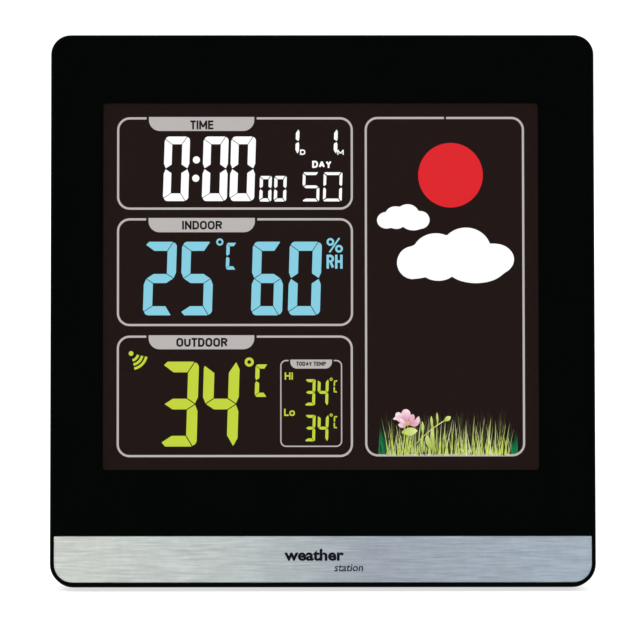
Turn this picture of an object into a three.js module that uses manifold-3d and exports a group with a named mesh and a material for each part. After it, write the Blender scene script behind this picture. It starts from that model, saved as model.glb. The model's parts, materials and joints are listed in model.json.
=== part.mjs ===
// A wireless home weather station: the indoor display unit, standing on a desk on its fold-out leg.
// Units are millimetres. +Z is up, +X is the user's right, and the display faces -Y.
//
// Every piece but the leg is drawn in the upright frame of the case: x = 0 is the middle of the case,
// y = 0 the plane of its front and z = 0 its bottom edge. The whole case is then leaned back onto its leg.
import * as THREE from "three";
import { mergeVertices } from "three/addons/utils/BufferGeometryUtils.js";
import Module from "manifold-3d";

const wasm = await Module();
wasm.setup();

// ---------------------------------------------------------------- driving dimensions

const CASE_W = 182;
const CASE_H = 185;
const CASE_D = 28;
const TOP_RADIUS = 6.6;
const BOTTOM_RADIUS = 7.5;
const LEAN = THREE.MathUtils.degToRad(10);

const GAP = 0.1; // between pieces that touch
const RIM = 1.2; // width of the frame's edge round the lens and the trim
const FRAME_D = 8.5; // depth of the front frame
const FRAME_WALL = 2.2;
const FRAME_FACE_Y = [2.6, 4.6]; // front and back of the frame's face plate
const TRIM_TOP = 16.8;
const TRIM_T = 1;
const LENS_T = 2;
const TAPE_T = 0.3;
const WINDOW = { left: -73.5, right: 72.3, bottom: 38.9, top: 162 }; // clear window of the lens
const TAPE_EDGE = 3; // from the window to the lens's tape

const GLASS_T = 1.1;
const LCD = { half: 76, ledge: 31.5, bottom: 37.5, top: 165.3, y: 4.9 };
const GUIDE_T = 3;
const TRAY = { half: 78.6, bottom: 35.6, top: 167.3, y0: 4.8, y1: 13.4, wall: 1.4 };
const BOARD_T = 1.6;
const BOARD = { half: 72, bottom: 22, top: 78, y: 15 };
const KEY_BOARD_Y = 18.4;

const SKIN = 2; // rear cover wall
const BACK_IN = CASE_D - SKIN; // inner face of the rear wall
const CASE_SCREWS = [[-74, 15], [74, 15], [-74, 171], [74, 171]];
const TRAY_SCREWS = [[-83, 62], [83, 62], [-83, 138], [83, 138]];
const BOARD_SCREWS = [[-62, 27], [62, 27], [-62, 73.5], [62, 73.5]];
const POST_END = 20; // where the frame's corner posts meet the rear cover

const CELL = { r: 5.2, body: 43.4, nub: 1.1, nubR: 1.9, y: 20.5, z: [88.2, 99.25, 110.3] };
const BAY = { half: 26.5, bottom: 82.4, top: 116.1, floor: 15 };
const DOOR = { half: 29, bottom: 79.2, top: 118.9, t: 1.8, pin: 0.6 };
const DOOR_AXIS = { y: CASE_D - DOOR.t / 2 - 0.05, z: DOOR.bottom + DOOR.t / 2 };

const HINGE = { y: 25.6, z: 64.5, r: 2.3, pin: 1.4 };
const STAND = { half: 25, t: 3.8, open: THREE.MathUtils.degToRad(28) };
const STAND_BAY = { half: 26.2, floor: 23.2, top: 69.8 };

const KEY_X = 60;
const KEY_Z = [148, 133, 118, 103, 88];
const KEY = { w: 10, h: 5.5 };
const KEY_POSTS = [[-8, 165], [57, 165], [66, 62]]; // pillars the key board is staked to
const KEY_NAMES = ["mode_key", "up_key", "down_key", "channel_key", "alarm_key"];
const TROUGH = { half: 8, bottom: 60, top: 157, depth: 1.2 };
const SWITCH_Z = 70;
const SNOOZE = { half: 29.7, y0: 13.4, y1: 20.2, top: 183.1 };

const HANGER = { z: 145, headR: 4.6, slotHalf: 2.3, rise: 8 };
const JACK = { x: 46, z: 36, half: 4.5, bore: 2.8, pin: 1 };
const BUZZER = { x: -45, z: 50, r: 8 };
const VENT = { x: -61, z: 108, half: 14, slot: 1.8, pitch: 4, count: 7 };

const FOOT = { x: 66, half: 9, y0: 12.5, y1: 18, seat: 2.6 };
const FLOOR_DROP = 1.85;

// The height of the desk under the leaning case, at a depth y.
const floorAt = (y) => y * Math.tan(LEAN) - FLOOR_DROP;

// ---------------------------------------------------------------- shapes and solids

const point = (x, y, z) => new THREE.Vector3(x, y, z);

const box = (x0, x1, y0, y1, z0, z1) =>
  new THREE.BoxGeometry(x1 - x0, y1 - y0, z1 - z0).translate((x0 + x1) / 2, (y0 + y1) / 2, (z0 + z1) / 2);

const rodY = (x, z, r, y0, y1, sides = 16) =>
  new THREE.CylinderGeometry(r, r, y1 - y0, sides).translate(x, (y0 + y1) / 2, z);

const rodX = (y, z, r, x0, x1, sides = 16) =>
  new THREE.CylinderGeometry(r, r, x1 - x0, sides).rotateZ(Math.PI / 2).translate((x0 + x1) / 2, y, z);

// A rectangle with round corners, the lower two and the upper two each with a radius of their own.
function rectangle(x0, x1, z0, z1, lower = 0, upper = lower) {
  const s = new THREE.Shape();
  const corner = (cx, cz, r, from) =>
    r > 0 ? s.absarc(cx, cz, r, from, from + Math.PI / 2, false) : s.lineTo(cx, cz);
  s.moveTo(x0 + lower, z0);
  corner(x1 - lower, z0 + lower, lower, -Math.PI / 2);
  corner(x1 - upper, z1 - upper, upper, 0);
  corner(x0 + upper, z1 - upper, upper, Math.PI / 2);
  corner(x0 + lower, z0 + lower, lower, Math.PI);
  return s;
}

// A shape in x and z, through the case from y0 to y1.
const plate = (shape, y0, y1, curveSegments = 4) =>
  new THREE.ExtrudeGeometry(shape, { depth: y1 - y0, bevelEnabled: false, curveSegments })
    .rotateX(Math.PI / 2)
    .translate(0, y1, 0);

// Corners in y and z, across the case from x0 to x1.
const profile = (corners, x0, x1) =>
  new THREE.ExtrudeGeometry(new THREE.Shape(corners.map(([y, z]) => new THREE.Vector2(y, z))), {
    depth: x1 - x0,
    bevelEnabled: false,
  })
    .rotateX(Math.PI / 2)
    .rotateZ(Math.PI / 2)
    .translate(x0, 0, 0);

// The outline of the case, taken in by inset.
const caseOutline = (inset, soften = 1) =>
  rectangle(
    -CASE_W / 2 + inset,
    CASE_W / 2 - inset,
    inset,
    CASE_H - inset,
    BOTTOM_RADIUS - inset * soften,
    TOP_RADIUS - inset * soften,
  );

// A closed skin through outlines of the case, each [y, inset], from front to back.
function loft(sections, cornerSteps = 4) {
  const rings = sections.map(([y, inset]) =>
    caseOutline(inset, -0.4)
      .getPoints(cornerSteps)
      .slice(0, -1)
      .map((p) => point(p.x, y, p.y)),
  );
  const n = rings[0].length;
  const last = rings.length - 1;
  const centres = [0, last].map((k) => point(0, sections[k][0], CASE_H / 2));
  const corners = [...rings.flat(), ...centres];
  const at = (k, i) => k * n + (i % n);
  const faces = [];
  for (let i = 0; i < n; i++) {
    faces.push(corners.length - 2, at(0, i), at(0, i + 1));
    faces.push(corners.length - 1, at(last, i + 1), at(last, i));
    for (let k = 0; k < last; k++) {
      faces.push(at(k, i), at(k + 1, i), at(k + 1, i + 1));
      faces.push(at(k, i), at(k + 1, i + 1), at(k, i + 1));
    }
  }
  return new THREE.BufferGeometry().setFromPoints(corners).setIndex(faces);
}

// A round wire along a curve.
function wire(curve, r, steps) {
  const section = new THREE.Shape();
  section.absarc(0, 0, r, 0, 2 * Math.PI, false);
  return new THREE.ExtrudeGeometry(section, {
    steps,
    curveSegments: 3,
    extrudePath: curve,
    bevelEnabled: false,
  });
}

// A coil about an axis along x, from x0 to x1, its radius going from r0 to r1.
class Coil extends THREE.Curve {
  constructor(x0, x1, y, z, r0, r1, turns) {
    super();
    Object.assign(this, { x0, x1, y, z, r0, r1, turns });
  }
  getPoint(t, target = new THREE.Vector3()) {
    const a = 2 * Math.PI * this.turns * t;
    const r = this.r0 + (this.r1 - this.r0) * t;
    const x = this.x0 + (this.x1 - this.x0) * t;
    return target.set(x, this.y + r * Math.cos(a), this.z + r * Math.sin(a));
  }
}

// A closed geometry as a solid that can be joined and cut.
function solid(geometry) {
  if (!geometry.isBufferGeometry) return geometry;
  const bare = geometry.clone();
  bare.deleteAttribute("normal");
  bare.deleteAttribute("uv");
  const merged = mergeVertices(bare, 1e-4);
  return new wasm.Manifold(
    new wasm.Mesh({
      numProp: 3,
      vertProperties: merged.attributes.position.array,
      triVerts: new Uint32Array(merged.index.array),
    }),
  );
}

const join = (...all) => all.map(solid).reduce((a, b) => a.add(b));
const cut = (body, ...tools) => tools.map(solid).reduce((a, b) => a.subtract(b), solid(body));
const common = (a, b) => solid(a).intersect(solid(b));

function geometryOf(shape) {
  if (shape.isBufferGeometry) return shape;
  const mesh = shape.getMesh();
  const made = new THREE.BufferGeometry()
    .setAttribute("position", new THREE.BufferAttribute(mesh.vertProperties, 3))
    .setIndex(new THREE.BufferAttribute(mesh.triVerts, 1))
    .toNonIndexed();
  made.computeVertexNormals();
  return made;
}

// ---------------------------------------------------------------- finishes

const finish = (color, roughness, metalness = 0) =>
  new THREE.MeshStandardMaterial({ color, roughness, metalness });

const finishes = {
  gloss: finish(0x0a0b0c, 0.15),
  lens: finish(0x0c0d0f, 0.05),
  trim: finish(0xb4babd, 0.35, 0.9),
  matte: finish(0x191a1b, 0.6),
  white: finish(0xe6e6e2, 0.5),
  glass: finish(0x241a18, 0.1),
  film: finish(0x3a3f44, 0.4),
  acrylic: finish(0xdfe8ea, 0.1),
  board: finish(0x1d5b35, 0.45),
  chip: finish(0x17181a, 0.5),
  metal: finish(0xb9bcbe, 0.3, 1),
  copper: finish(0xa8612c, 0.35, 1),
  ferrite: finish(0x35363a, 0.7),
  rubber: finish(0x1c1c1d, 0.85),
  cell: finish(0x2c6f9f, 0.35),
  tape: finish(0xd8d8d4, 0.8),
  red: finish(0xb3231f, 0.5),
  black: finish(0x141414, 0.5),
};

const caseGroup = new THREE.Group();
const standGroup = new THREE.Group();

function piece(name, material, shape, group = caseGroup) {
  const mesh = new THREE.Mesh(geometryOf(shape), finishes[material]);
  mesh.name = name;
  group.add(mesh);
}

// ---------------------------------------------------------------- front frame, lens and trim

const post = ([x, z], r, bore, end) => ({
  body: rodY(x, z, r, FRAME_FACE_Y[0] + 1, end),
  hole: rodY(x, z, bore, FRAME_FACE_Y[1] + 1, end + 1, 12),
});

// The window of the display, widened by margin and cut right through the face.
const windowBox = (margin) =>
  box(
    WINDOW.left - margin,
    WINDOW.right + margin,
    -1,
    FRAME_D,
    WINDOW.bottom - margin,
    WINDOW.top + margin,
  );

function frontFrame() {
  const shell = cut(
    plate(caseOutline(0), 0, FRAME_D, 5),
    plate(caseOutline(FRAME_WALL), FRAME_FACE_Y[1], FRAME_D + 1, 5),
  );
  const recess = solid(plate(caseOutline(RIM), -1, FRAME_FACE_Y[0], 5));
  const trimLand = solid(box(-CASE_W, CASE_W, TRIM_T + TAPE_T + 3 * GAP, CASE_D, -1, TRIM_TOP));
  const window = windowBox(0.8);
  const posts = [
    ...CASE_SCREWS.map((at) => post(at, 3.4, 1.3, POST_END)),
    ...TRAY_SCREWS.map((at) => post(at, 2.6, 1.1, 10.2)),
    ...BOARD_SCREWS.slice(0, 2).map((at) => post(at, 2.6, 1.1, BOARD.y - GAP)),
  ];
  return cut(
    join(cut(shell, cut(recess, trimLand)), ...posts.map((p) => p.body)),
    window,
    ...posts.map((p) => p.hole),
  );
}

// The upper part of the front recess, above or below the line between lens and trim.
const recessPart = (inset, y0, y1, z0, z1) =>
  common(plate(caseOutline(RIM + inset), y0, y1, 5), box(-CASE_W, CASE_W, -1, CASE_D, z0, z1));

function makeFront() {
  piece("front_frame", "gloss", frontFrame());
  const lensBack = GAP + LENS_T;
  piece("front_lens", "lens", recessPart(GAP, GAP, lensBack, TRIM_TOP + GAP, CASE_H));
  const lensTape = recessPart(1, lensBack + GAP, lensBack + GAP + TAPE_T, TRIM_TOP + 1, CASE_H);
  piece("lens_tape", "tape", cut(lensTape, windowBox(TAPE_EDGE)));
  piece("trim_strip", "trim", recessPart(GAP, GAP, GAP + TRIM_T, 0, TRIM_TOP - GAP));
  const trimBack = 2 * GAP + TRIM_T;
  piece("trim_tape", "tape", recessPart(1, trimBack, trimBack + TAPE_T, 0, TRIM_TOP - 1));
}

// ---------------------------------------------------------------- display and backlight

function backlightTray() {
  const w = TRAY.wall;
  const body = cut(
    box(-TRAY.half, TRAY.half, TRAY.y0, TRAY.y1, TRAY.bottom, TRAY.top),
    box(-LCD.half - 0.5, LCD.half + 0.5, 0, TRAY.y1 - w, TRAY.bottom + w, LCD.top + 0.6),
    box(-LCD.half - 0.5, LCD.half + 0.5, 0, LCD.y + GLASS_T + 0.3, TRAY.bottom - 1, TRAY.bottom + w + 1),
  );
  const ears = TRAY_SCREWS.map(([x, z]) => {
    const side = Math.sign(x);
    const [inner, outer] = [side * (TRAY.half - 1), side * 86];
    return box(Math.min(inner, outer), Math.max(inner, outer), 10.4, 12, z - 4, z + 4);
  });
  const bosses = BOARD_SCREWS.slice(2).map(([x, z]) => rodY(x, z, 2.6, TRAY.y1 - 0.5, BOARD.y - GAP));
  const holes = [
    ...TRAY_SCREWS.map(([x, z]) => rodY(x, z, 1.3, 9, 13, 12)),
    ...BOARD_SCREWS.slice(2).map(([x, z]) => rodY(x, z, 1.1, TRAY.y1 - 1, BOARD.y + 1, 12)),
  ];
  return cut(join(body, ...ears, ...bosses), ...holes);
}

function ledStrip(y0, y1) {
  const [bottom, top, count, half] = [163.1, 164.1, 9, 70];
  const board = box(-half, half, y0, y1, bottom, top);
  const lamps = [...Array(count).keys()].map((i) => {
    const x = -half + ((i + 0.5) * 2 * half) / count;
    return box(x - 1.7, x + 1.7, y0 + 0.6, y1 - 0.6, bottom - 0.7, bottom + 0.2);
  });
  return join(board, ...lamps);
}

function makeDisplay() {
  const sheet = (name, material, y, t, inset, bottom = LCD.bottom) =>
    piece(
      name,
      material,
      box(-LCD.half + inset, LCD.half - inset, y, y + t, bottom + inset, LCD.top - inset),
    );
  sheet("lcd_front_glass", "glass", LCD.y, GLASS_T, 0, LCD.ledge);
  const rearGlass = LCD.y + GLASS_T + GAP;
  sheet("lcd_rear_glass", "glass", rearGlass, GLASS_T, 0);
  const film = rearGlass + GLASS_T + 0.2;
  sheet("colour_film", "film", film, 0.2, 0.5);
  sheet("diffuser_sheet", "white", film + 0.4, 0.3, 0.5);
  const guide = film + 0.9;
  piece("light_guide", "acrylic", box(-75, 75, guide, guide + GUIDE_T, 38.4, 162.1));
  sheet("reflector_sheet", "white", guide + GUIDE_T + GAP, 0.3, 0.5);
  piece("led_board", "white", ledStrip(guide, guide + GUIDE_T));
  piece("backlight_tray", "white", backlightTray());
  const zebraBack = BOARD.y - GAP;
  piece("zebra_strip", "rubber", box(-68, 68, LCD.y + GLASS_T + GAP, zebraBack, 32.1, 34.9));
}

// ---------------------------------------------------------------- electronics

function mainBoard() {
  const outline = rectangle(-BOARD.half, BOARD.half, BOARD.bottom, BOARD.top, 2);
  const holes = BOARD_SCREWS.map(([x, z]) => rodY(x, z, 1.3, BOARD.y - 1, BOARD.y + BOARD_T + 1, 12));
  return cut(plate(outline, BOARD.y, BOARD.y + BOARD_T, 3), ...holes);
}

// The key board: a column of push switches under the rear keys, the slide switch below them, and an arm to
// the snooze key's switch.
function keyBoard() {
  const [y0, y1] = [KEY_BOARD_Y, KEY_BOARD_Y + BOARD_T];
  const column = box(KEY_X - 7.5, KEY_X + 7.5, y0, y1, 59, 170);
  const arm = box(-12, KEY_X, y0, y1, 160, 170);
  const switches = KEY_Z.flatMap((z) => [
    box(KEY_X - 3, KEY_X + 3, y1 - 0.2, y1 + 2, z - 3, z + 3),
    rodY(KEY_X, z, 1.5, y1 + 1.8, y1 + 2.7, 12),
  ]);
  const slider = box(KEY_X - 2.5, KEY_X + 2.5, y1 - 0.2, y1 + 2.6, SWITCH_Z - 5, SWITCH_Z + 5);
  const snoozeSwitch = box(-3, 3, y0 - 3.6, y0 + 0.2, 164.5, 172);
  const snoozeStem = box(-1.5, 1.5, y0 - 2.9, y0 - 0.7, 171.8, 173.7);
  return join(column, arm, ...switches, slider, snoozeSwitch, snoozeStem);
}

function powerJack() {
  const { x, z, half } = JACK;
  const [mouth, back] = [BACK_IN - GAP, BOARD.y + BOARD_T + GAP];
  const block = box(x - half, x + half, back, mouth, z - half, z + half);
  return join(
    cut(block, rodY(x, z, JACK.bore, back + 1.6, mouth + 1, 20)),
    rodY(x, z, JACK.pin, back + 1, mouth - 1.4, 12),
  );
}

function buzzerCan(y) {
  const can = rodY(BUZZER.x, BUZZER.z, BUZZER.r, y, y + 3.6, 28);
  return cut(can, rodY(BUZZER.x, BUZZER.z, 1.2, y + 2.4, y + 5, 12));
}

function makeElectronics() {
  const back = BOARD.y + BOARD_T; // rear face of the main board
  const on = back + GAP;
  piece("main_board", "board", mainBoard());
  piece("controller_chip", "chip", box(-12, 2, on, on + 1.6, 44, 58));
  const receiver = box(-66, -60, on + 0.8, on + 2, 58, 64);
  piece("radio_module", "board", join(box(-70, -52, on, on + 1, 54, 70), receiver));
  piece("radio_antenna", "copper", wire(new Coil(-50, -34, on + 2.5, 67, 2, 2, 4), 0.4, 36));
  const rod = { y: 19, z: 130, r: 4, x0: -75, x1: -15 };
  piece("ferrite_rod", "ferrite", rodX(rod.y, rod.z, rod.r, rod.x0, rod.x1, 20));
  const winding = cut(
    rodX(rod.y, rod.z, rod.r + 1.2, -58, -34, 20),
    rodX(rod.y, rod.z, rod.r + GAP, -80, -10, 20),
  );
  piece("ferrite_coil", "copper", winding);
  piece("buzzer", "chip", buzzerCan(on));
  const sensor = box(VENT.x - 3, VENT.x + 3, 23.7, 25.1, VENT.z - 3, VENT.z + 3);
  const sensorCard = box(VENT.x - 8, VENT.x + 8, 22.9, 23.9, VENT.z - 6, VENT.z + 6);
  piece("sensor_board", "board", join(sensorCard, sensor));
  piece("quartz_crystal", "metal", rodX(on + 1.3, 40, 1.2, 8, 15, 12));
  piece("dc_jack", "chip", powerJack());
  piece("key_board", "board", keyBoard());
  piece("board_connector", "chip", box(KEY_X - 6, KEY_X + 6, on, KEY_BOARD_Y - GAP, 62, 66));
}

// ---------------------------------------------------------------- rear cover

const OUTER = [[8.65, 0.9], [12, 1.2], [21, 2.6], [25, 3.7], [27, 5], [27.7, 6], [28, 7.2]];
const INNER = [[7, 3.7], [12, 3.8], [21, 4.8], [24.5, 5.8], [BACK_IN, 7.2]];

const slots = (x, z, half, count) =>
  [...Array(count).keys()].map((i) => {
    const middle = z + (i - (count - 1) / 2) * VENT.pitch;
    const r = VENT.slot / 2;
    return plate(stadium(x, middle, 2 * half, 2 * r), BACK_IN - 3, CASE_D + 1, 1);
  });

// Material added inside the skin: the battery bay, the leg's bay, the hanger pocket, posts and ribs.
function coverAdditions() {
  const lip = cut(lipBlank(), plate(caseOutline(3.7), 6, 13));
  const bayBlock = box(-28.2, 28.2, BAY.floor - 1.4, CASE_D, BAY.bottom - 1.6, BAY.top + 1.6);
  const doorBlock = box(-31, 31, CASE_D - DOOR.t - 2, CASE_D, 70, DOOR.top + 2);
  const standBlock = box(-30.6, 30.6, STAND_BAY.floor - 1.6, CASE_D, 0, 75);
  const pocket = box(-6.8, 6.8, 19.3, BACK_IN + 0.2, HANGER.z - 5.9, HANGER.z + 13.2);
  const keyPad = box(KEY_X - 10, KEY_X + 10, BACK_IN - 0.8, BACK_IN + 0.2, 58, 159);
  const columns = CASE_SCREWS.map(([x, z]) => rodY(x, z, 5, POST_END + 0.2, BACK_IN + 0.2));
  const keyBoardBack = KEY_BOARD_Y + BOARD_T + GAP;
  const keyPosts = KEY_POSTS.map(([x, z]) => rodY(x, z, 1.8, keyBoardBack, BACK_IN + 0.2, 10));
  const cradles = [-66, -26].map((x) => box(x - 1, x + 1, 23.3, BACK_IN + 0.2, 125, 135));
  const pegs = [-6, 6].map((dx) => rodY(VENT.x + dx, VENT.z + 4, 1.2, 24, BACK_IN + 0.2, 12));
  const pillars = [...columns, ...keyPosts, ...cradles, ...pegs];
  return join(lip, bayBlock, doorBlock, standBlock, pocket, keyPad, ...pillars);
}

// Material taken out of the cover: every opening, recess and hole.
function coverCuts() {
  const bay = box(-BAY.half, BAY.half, BAY.floor, CASE_D + 1, BAY.bottom, BAY.top);
  const doorSeat = plate(
    rectangle(-DOOR.half - 0.2, DOOR.half + 0.2, DOOR.bottom - 0.3, DOOR.top + 0.3, 0, 1.5),
    CASE_D - DOOR.t - GAP,
    CASE_D + 1,
    3,
  );
  const doorPins = rodX(DOOR_AXIS.y, DOOR_AXIS.z, DOOR.pin + 0.1, -DOOR.half - 1, DOOR.half + 1, 10);
  const leadSlots = [[1, CELL.z[0]], [-1, CELL.z[2]]].map(([side, z]) =>
    box(Math.min(side * 26, side * 30), Math.max(side * 26, side * 30), 17.7, 18.7, z - 2, z + 2),
  );
  const legBay = box(-STAND_BAY.half, STAND_BAY.half, STAND_BAY.floor, CASE_D + 1, -1, STAND_BAY.top);
  const legPins = rodX(HINGE.y, HINGE.z, HINGE.pin + 0.2, -29, 29);
  const hangerBore = rodY(0, HANGER.z, HANGER.headR, BACK_IN - 1, CASE_D + 1, 24);
  const slotR = HANGER.slotHalf;
  const slotTop = HANGER.z + HANGER.rise + slotR;
  const slotOutline = rectangle(-slotR, slotR, HANGER.z, slotTop, 0, slotR - 0.01);
  const hangerSlot = plate(slotOutline, BACK_IN - 1, CASE_D + 1, 5);
  const hangerPocket = box(-5.6, 5.6, 20.5, BACK_IN, HANGER.z - 4.7, HANGER.z + 12);
  const trough = plate(
    rectangle(KEY_X - TROUGH.half, KEY_X + TROUGH.half, TROUGH.bottom, TROUGH.top, 3),
    CASE_D - TROUGH.depth,
    CASE_D + 1,
    4,
  );
  const keyHoles = KEY_Z.map((z) => plate(stadium(KEY_X, z, KEY.w + 0.4, KEY.h + 0.4), 24, CASE_D, 2));
  const switchSlot = box(KEY_X - 2.2, KEY_X + 2.2, 24, CASE_D, SWITCH_Z - 4.2, SWITCH_Z + 2);
  const snoozeX = SNOOZE.half + 0.3;
  const snoozeHole = box(-snoozeX, snoozeX, SNOOZE.y0 - 0.3, SNOOZE.y1 + 0.3, 178, CASE_H);
  const screwHoles = CASE_SCREWS.flatMap(([x, z]) => [
    rodY(x, z, 1.5, 19, CASE_D, 12),
    rodY(x, z, 3.2, 22, CASE_D + 1),
  ]);
  const cradleCut = rodX(19, 130, 4.7, -70, -20, 20);
  const footSeats = [-FOOT.x, FOOT.x].map((x) =>
    box(x - FOOT.half, x + FOOT.half, FOOT.y0, FOOT.y1, 0, FOOT.seat),
  );
  return [
    bay, doorSeat, doorPins, ...leadSlots, ...footSeats, legBay, legPins,
    hangerBore, hangerSlot, hangerPocket, trough, ...keyHoles, switchSlot, snoozeHole,
    ...screwHoles, cradleCut,
    rodY(JACK.x, JACK.z, 4, BACK_IN - 1, CASE_D + 1, 24),
    rodY(0, DOOR.top + 1.5, 7, CASE_D - 1, CASE_D + 1, 24), // thumb scoop over the door's latch
    ...slots(VENT.x, VENT.z, VENT.half, VENT.count),
    ...slots(BUZZER.x, BUZZER.z, 6, 4),
  ];
}

// The lip of the cover, which goes inside the walls of the front frame.
const lipBlank = () => plate(caseOutline(FRAME_WALL + 0.25), FRAME_D - 1.6, 12.2);

function makeRearCover() {
  const outer = solid(loft(OUTER));
  const fill = join(outer, lipBlank());
  const shell = cut(outer, loft(INNER));
  piece("rear_cover", "matte", cut(join(shell, common(coverAdditions(), fill)), ...coverCuts()));
}

// ---------------------------------------------------------------- batteries and their contacts

// side is +1 where the cell's positive end is on the right.
function cell(z, side) {
  const nubEnd = side * (BAY.half - 0.75);
  const shoulder = nubEnd - side * CELL.nub;
  const foot = shoulder - side * CELL.body;
  return join(
    rodX(CELL.y, z, CELL.r, Math.min(shoulder, foot), Math.max(shoulder, foot), 24),
    rodX(CELL.y, z, CELL.nubR, Math.min(nubEnd, shoulder - side), Math.max(nubEnd, shoulder - side), 12),
  );
}

const contactPlate = (side, z0, z1) => {
  const [a, b] = [side * (BAY.half - 0.5), side * (BAY.half - GAP)];
  return box(Math.min(a, b), Math.max(a, b), 16, 25, z0 - 4.7, z1 + 4.7);
};

const spring = (side, z) => {
  const plateX = side * (BAY.half - 0.6);
  const cellX = side * (BAY.half - 0.75 - 6.2);
  return wire(new Coil(plateX, cellX, CELL.y, z, 3.6, 2.5, 2.5), 0.4, 22);
};

const solderTab = (side, z) => {
  const [a, b] = [side * (BAY.half - 0.4), side * 32.5];
  return box(Math.min(a, b), Math.max(a, b), 18, 18.4, z - 1.6, z + 1.6);
};

function makePower() {
  const [low, middle, high] = CELL.z;
  piece("battery_1", "cell", cell(low, 1));
  piece("battery_2", "cell", cell(middle, -1));
  piece("battery_3", "cell", cell(high, 1));
  const minus = join(contactPlate(-1, high, high), spring(-1, high), solderTab(-1, high));
  piece("contact_plus", "metal", join(contactPlate(1, low, low), solderTab(1, low)));
  piece("contact_minus", "metal", minus);
  piece("contact_link_left", "metal", join(contactPlate(-1, low, middle), spring(-1, low)));
  piece("contact_link_right", "metal", join(contactPlate(1, middle, high), spring(1, middle)));
  const boardBack = BOARD.y + BOARD_T + 0.9;
  const lead = (side, z, x) =>
    new THREE.CatmullRomCurve3([
      point(side * 33.3, 18.2, z),
      point(side * 35.2, 18.4, z - 1.5),
      point(side * 36, 18.6, z - (z - BOARD.top) * 0.5),
      point(side * x, 18.4, BOARD.top + 1),
      point(side * x, boardBack, BOARD.top - 3),
    ]);
  piece("battery_lead_red", "red", wire(lead(1, low, 36), 0.7, 14));
  piece("battery_lead_black", "black", wire(lead(-1, high, 36), 0.7, 18));
}

function batteryDoor() {
  const y0 = CASE_D - DOOR.t;
  const y1 = CASE_D - 0.05;
  const panel = plate(rectangle(-DOOR.half, DOOR.half, DOOR_AXIS.z, DOOR.top, 0, 1.3), y0, y1, 2);
  const hingeEdge = rodX(DOOR_AXIS.y, DOOR_AXIS.z, (y1 - y0) / 2, -DOOR.half, DOOR.half, 12);
  const pins = rodX(DOOR_AXIS.y, DOOR_AXIS.z, DOOR.pin, -DOOR.half - 0.8, DOOR.half + 0.8, 10);
  // Two slots free a tongue at the top, which carries the latch.
  const tongueSlots = [-6.4, 6.4].map((x) =>
    box(x - 0.4, x + 0.4, y0 - 1, CASE_D + 1, DOOR.top - 9, DOOR.top + 1),
  );
  const catchRib = box(-5, 5, y0 - 0.9, y0 + 0.2, BAY.top - 1.6, BAY.top - 0.4);
  return cut(join(panel, hingeEdge, pins, catchRib), ...tongueSlots);
}

// ---------------------------------------------------------------- stand, keys, screws and feet

// The leg hangs straight down from its pin here, and its group turns it out.
const LEG_SLANT = STAND.open - LEAN; // lean of the open leg from the vertical
const hingeHeight = (HINGE.z - floorAt(HINGE.y)) * Math.cos(LEAN);
const legReach = (t) => -(hingeHeight / Math.cos(LEG_SLANT) + t * Math.tan(LEG_SLANT));

function makeStand() {
  const [inner, outer] = [-STAND.t / 2, STAND.t / 2];
  const padTop = legReach(0) + 4;
  const blade = plate(rectangle(-STAND.half, STAND.half, padTop, 0, 3, 0), inner, outer, 3);
  const hollows = [-15.6, 0, 15.6].map((x) =>
    box(x - 6.6, x + 6.6, inner - 1, outer - 1.6, padTop + 4, -6),
  );
  const barrel = rodX(0, 0, HINGE.r, -STAND.half, STAND.half, 20);
  const pins = rodX(0, 0, HINGE.pin, -28.6, 28.6, 16);
  // The heel meets the floor of the leg's bay when the leg is fully out, which is its stop.
  const heel = box(-STAND.half, STAND.half, -0.45, 2, 0, 4);
  piece("stand_leg", "matte", join(cut(blade, ...hollows), barrel, pins, heel), standGroup);
  const pad = profile(
    [[inner, padTop - GAP], [inner, legReach(inner)], [outer, legReach(outer)], [outer, padTop - GAP]],
    -STAND.half + 2,
    STAND.half - 2,
  );
  piece("stand_foot", "rubber", pad, standGroup);
  standGroup.position.set(0, HINGE.y, HINGE.z);
  standGroup.rotation.x = STAND.open;
  caseGroup.add(standGroup);
}

function stadium(x, z, w, h) {
  return rectangle(x - w / 2, x + w / 2, z - h / 2, z + h / 2, h / 2 - 0.01);
}

function makeKeys() {
  const flange = [BACK_IN - 2, BACK_IN - 1];
  KEY_Z.forEach((z, i) => {
    const cap = plate(stadium(KEY_X, z, KEY.w, KEY.h), 23.5, CASE_D - 0.3, 2);
    const skirt = plate(stadium(KEY_X, z, KEY.w + 2, KEY.h + 2), ...flange, 2);
    piece(KEY_NAMES[i], "gloss", join(cap, skirt));
  });
  const knob = box(KEY_X - 1.9, KEY_X + 1.9, 22.8, CASE_D - 0.3, SWITCH_Z - 3.9, SWITCH_Z - 0.3);
  const slide = box(KEY_X - 3.4, KEY_X + 3.4, ...flange, SWITCH_Z - 5.4, SWITCH_Z + 1.2);
  piece("unit_switch", "gloss", join(knob, slide));
  piece("snooze_key", "gloss", snoozeKey());
}

function snoozeKey() {
  const { half, y0, y1, top } = SNOOZE;
  const fall = 0.9; // the cap's top follows the slope of the cover
  const cap = profile([[y0, 178.6], [y1, 178.6], [y1, top - fall], [y0, top]], -half, half);
  const flange = box(-half - 1.3, half + 1.3, y0 - 1, y1 + 0.9, 178.6, 179.9);
  const hollow = box(-half + 1.4, half - 1.4, y0 + 1.3, y1 - 1.3, 170, 180.6);
  const plunger = box(-2, 2, y0 + 1, y1 - 1, 174.5, 181);
  return join(cut(join(cap, flange), hollow), plunger);
}

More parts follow.
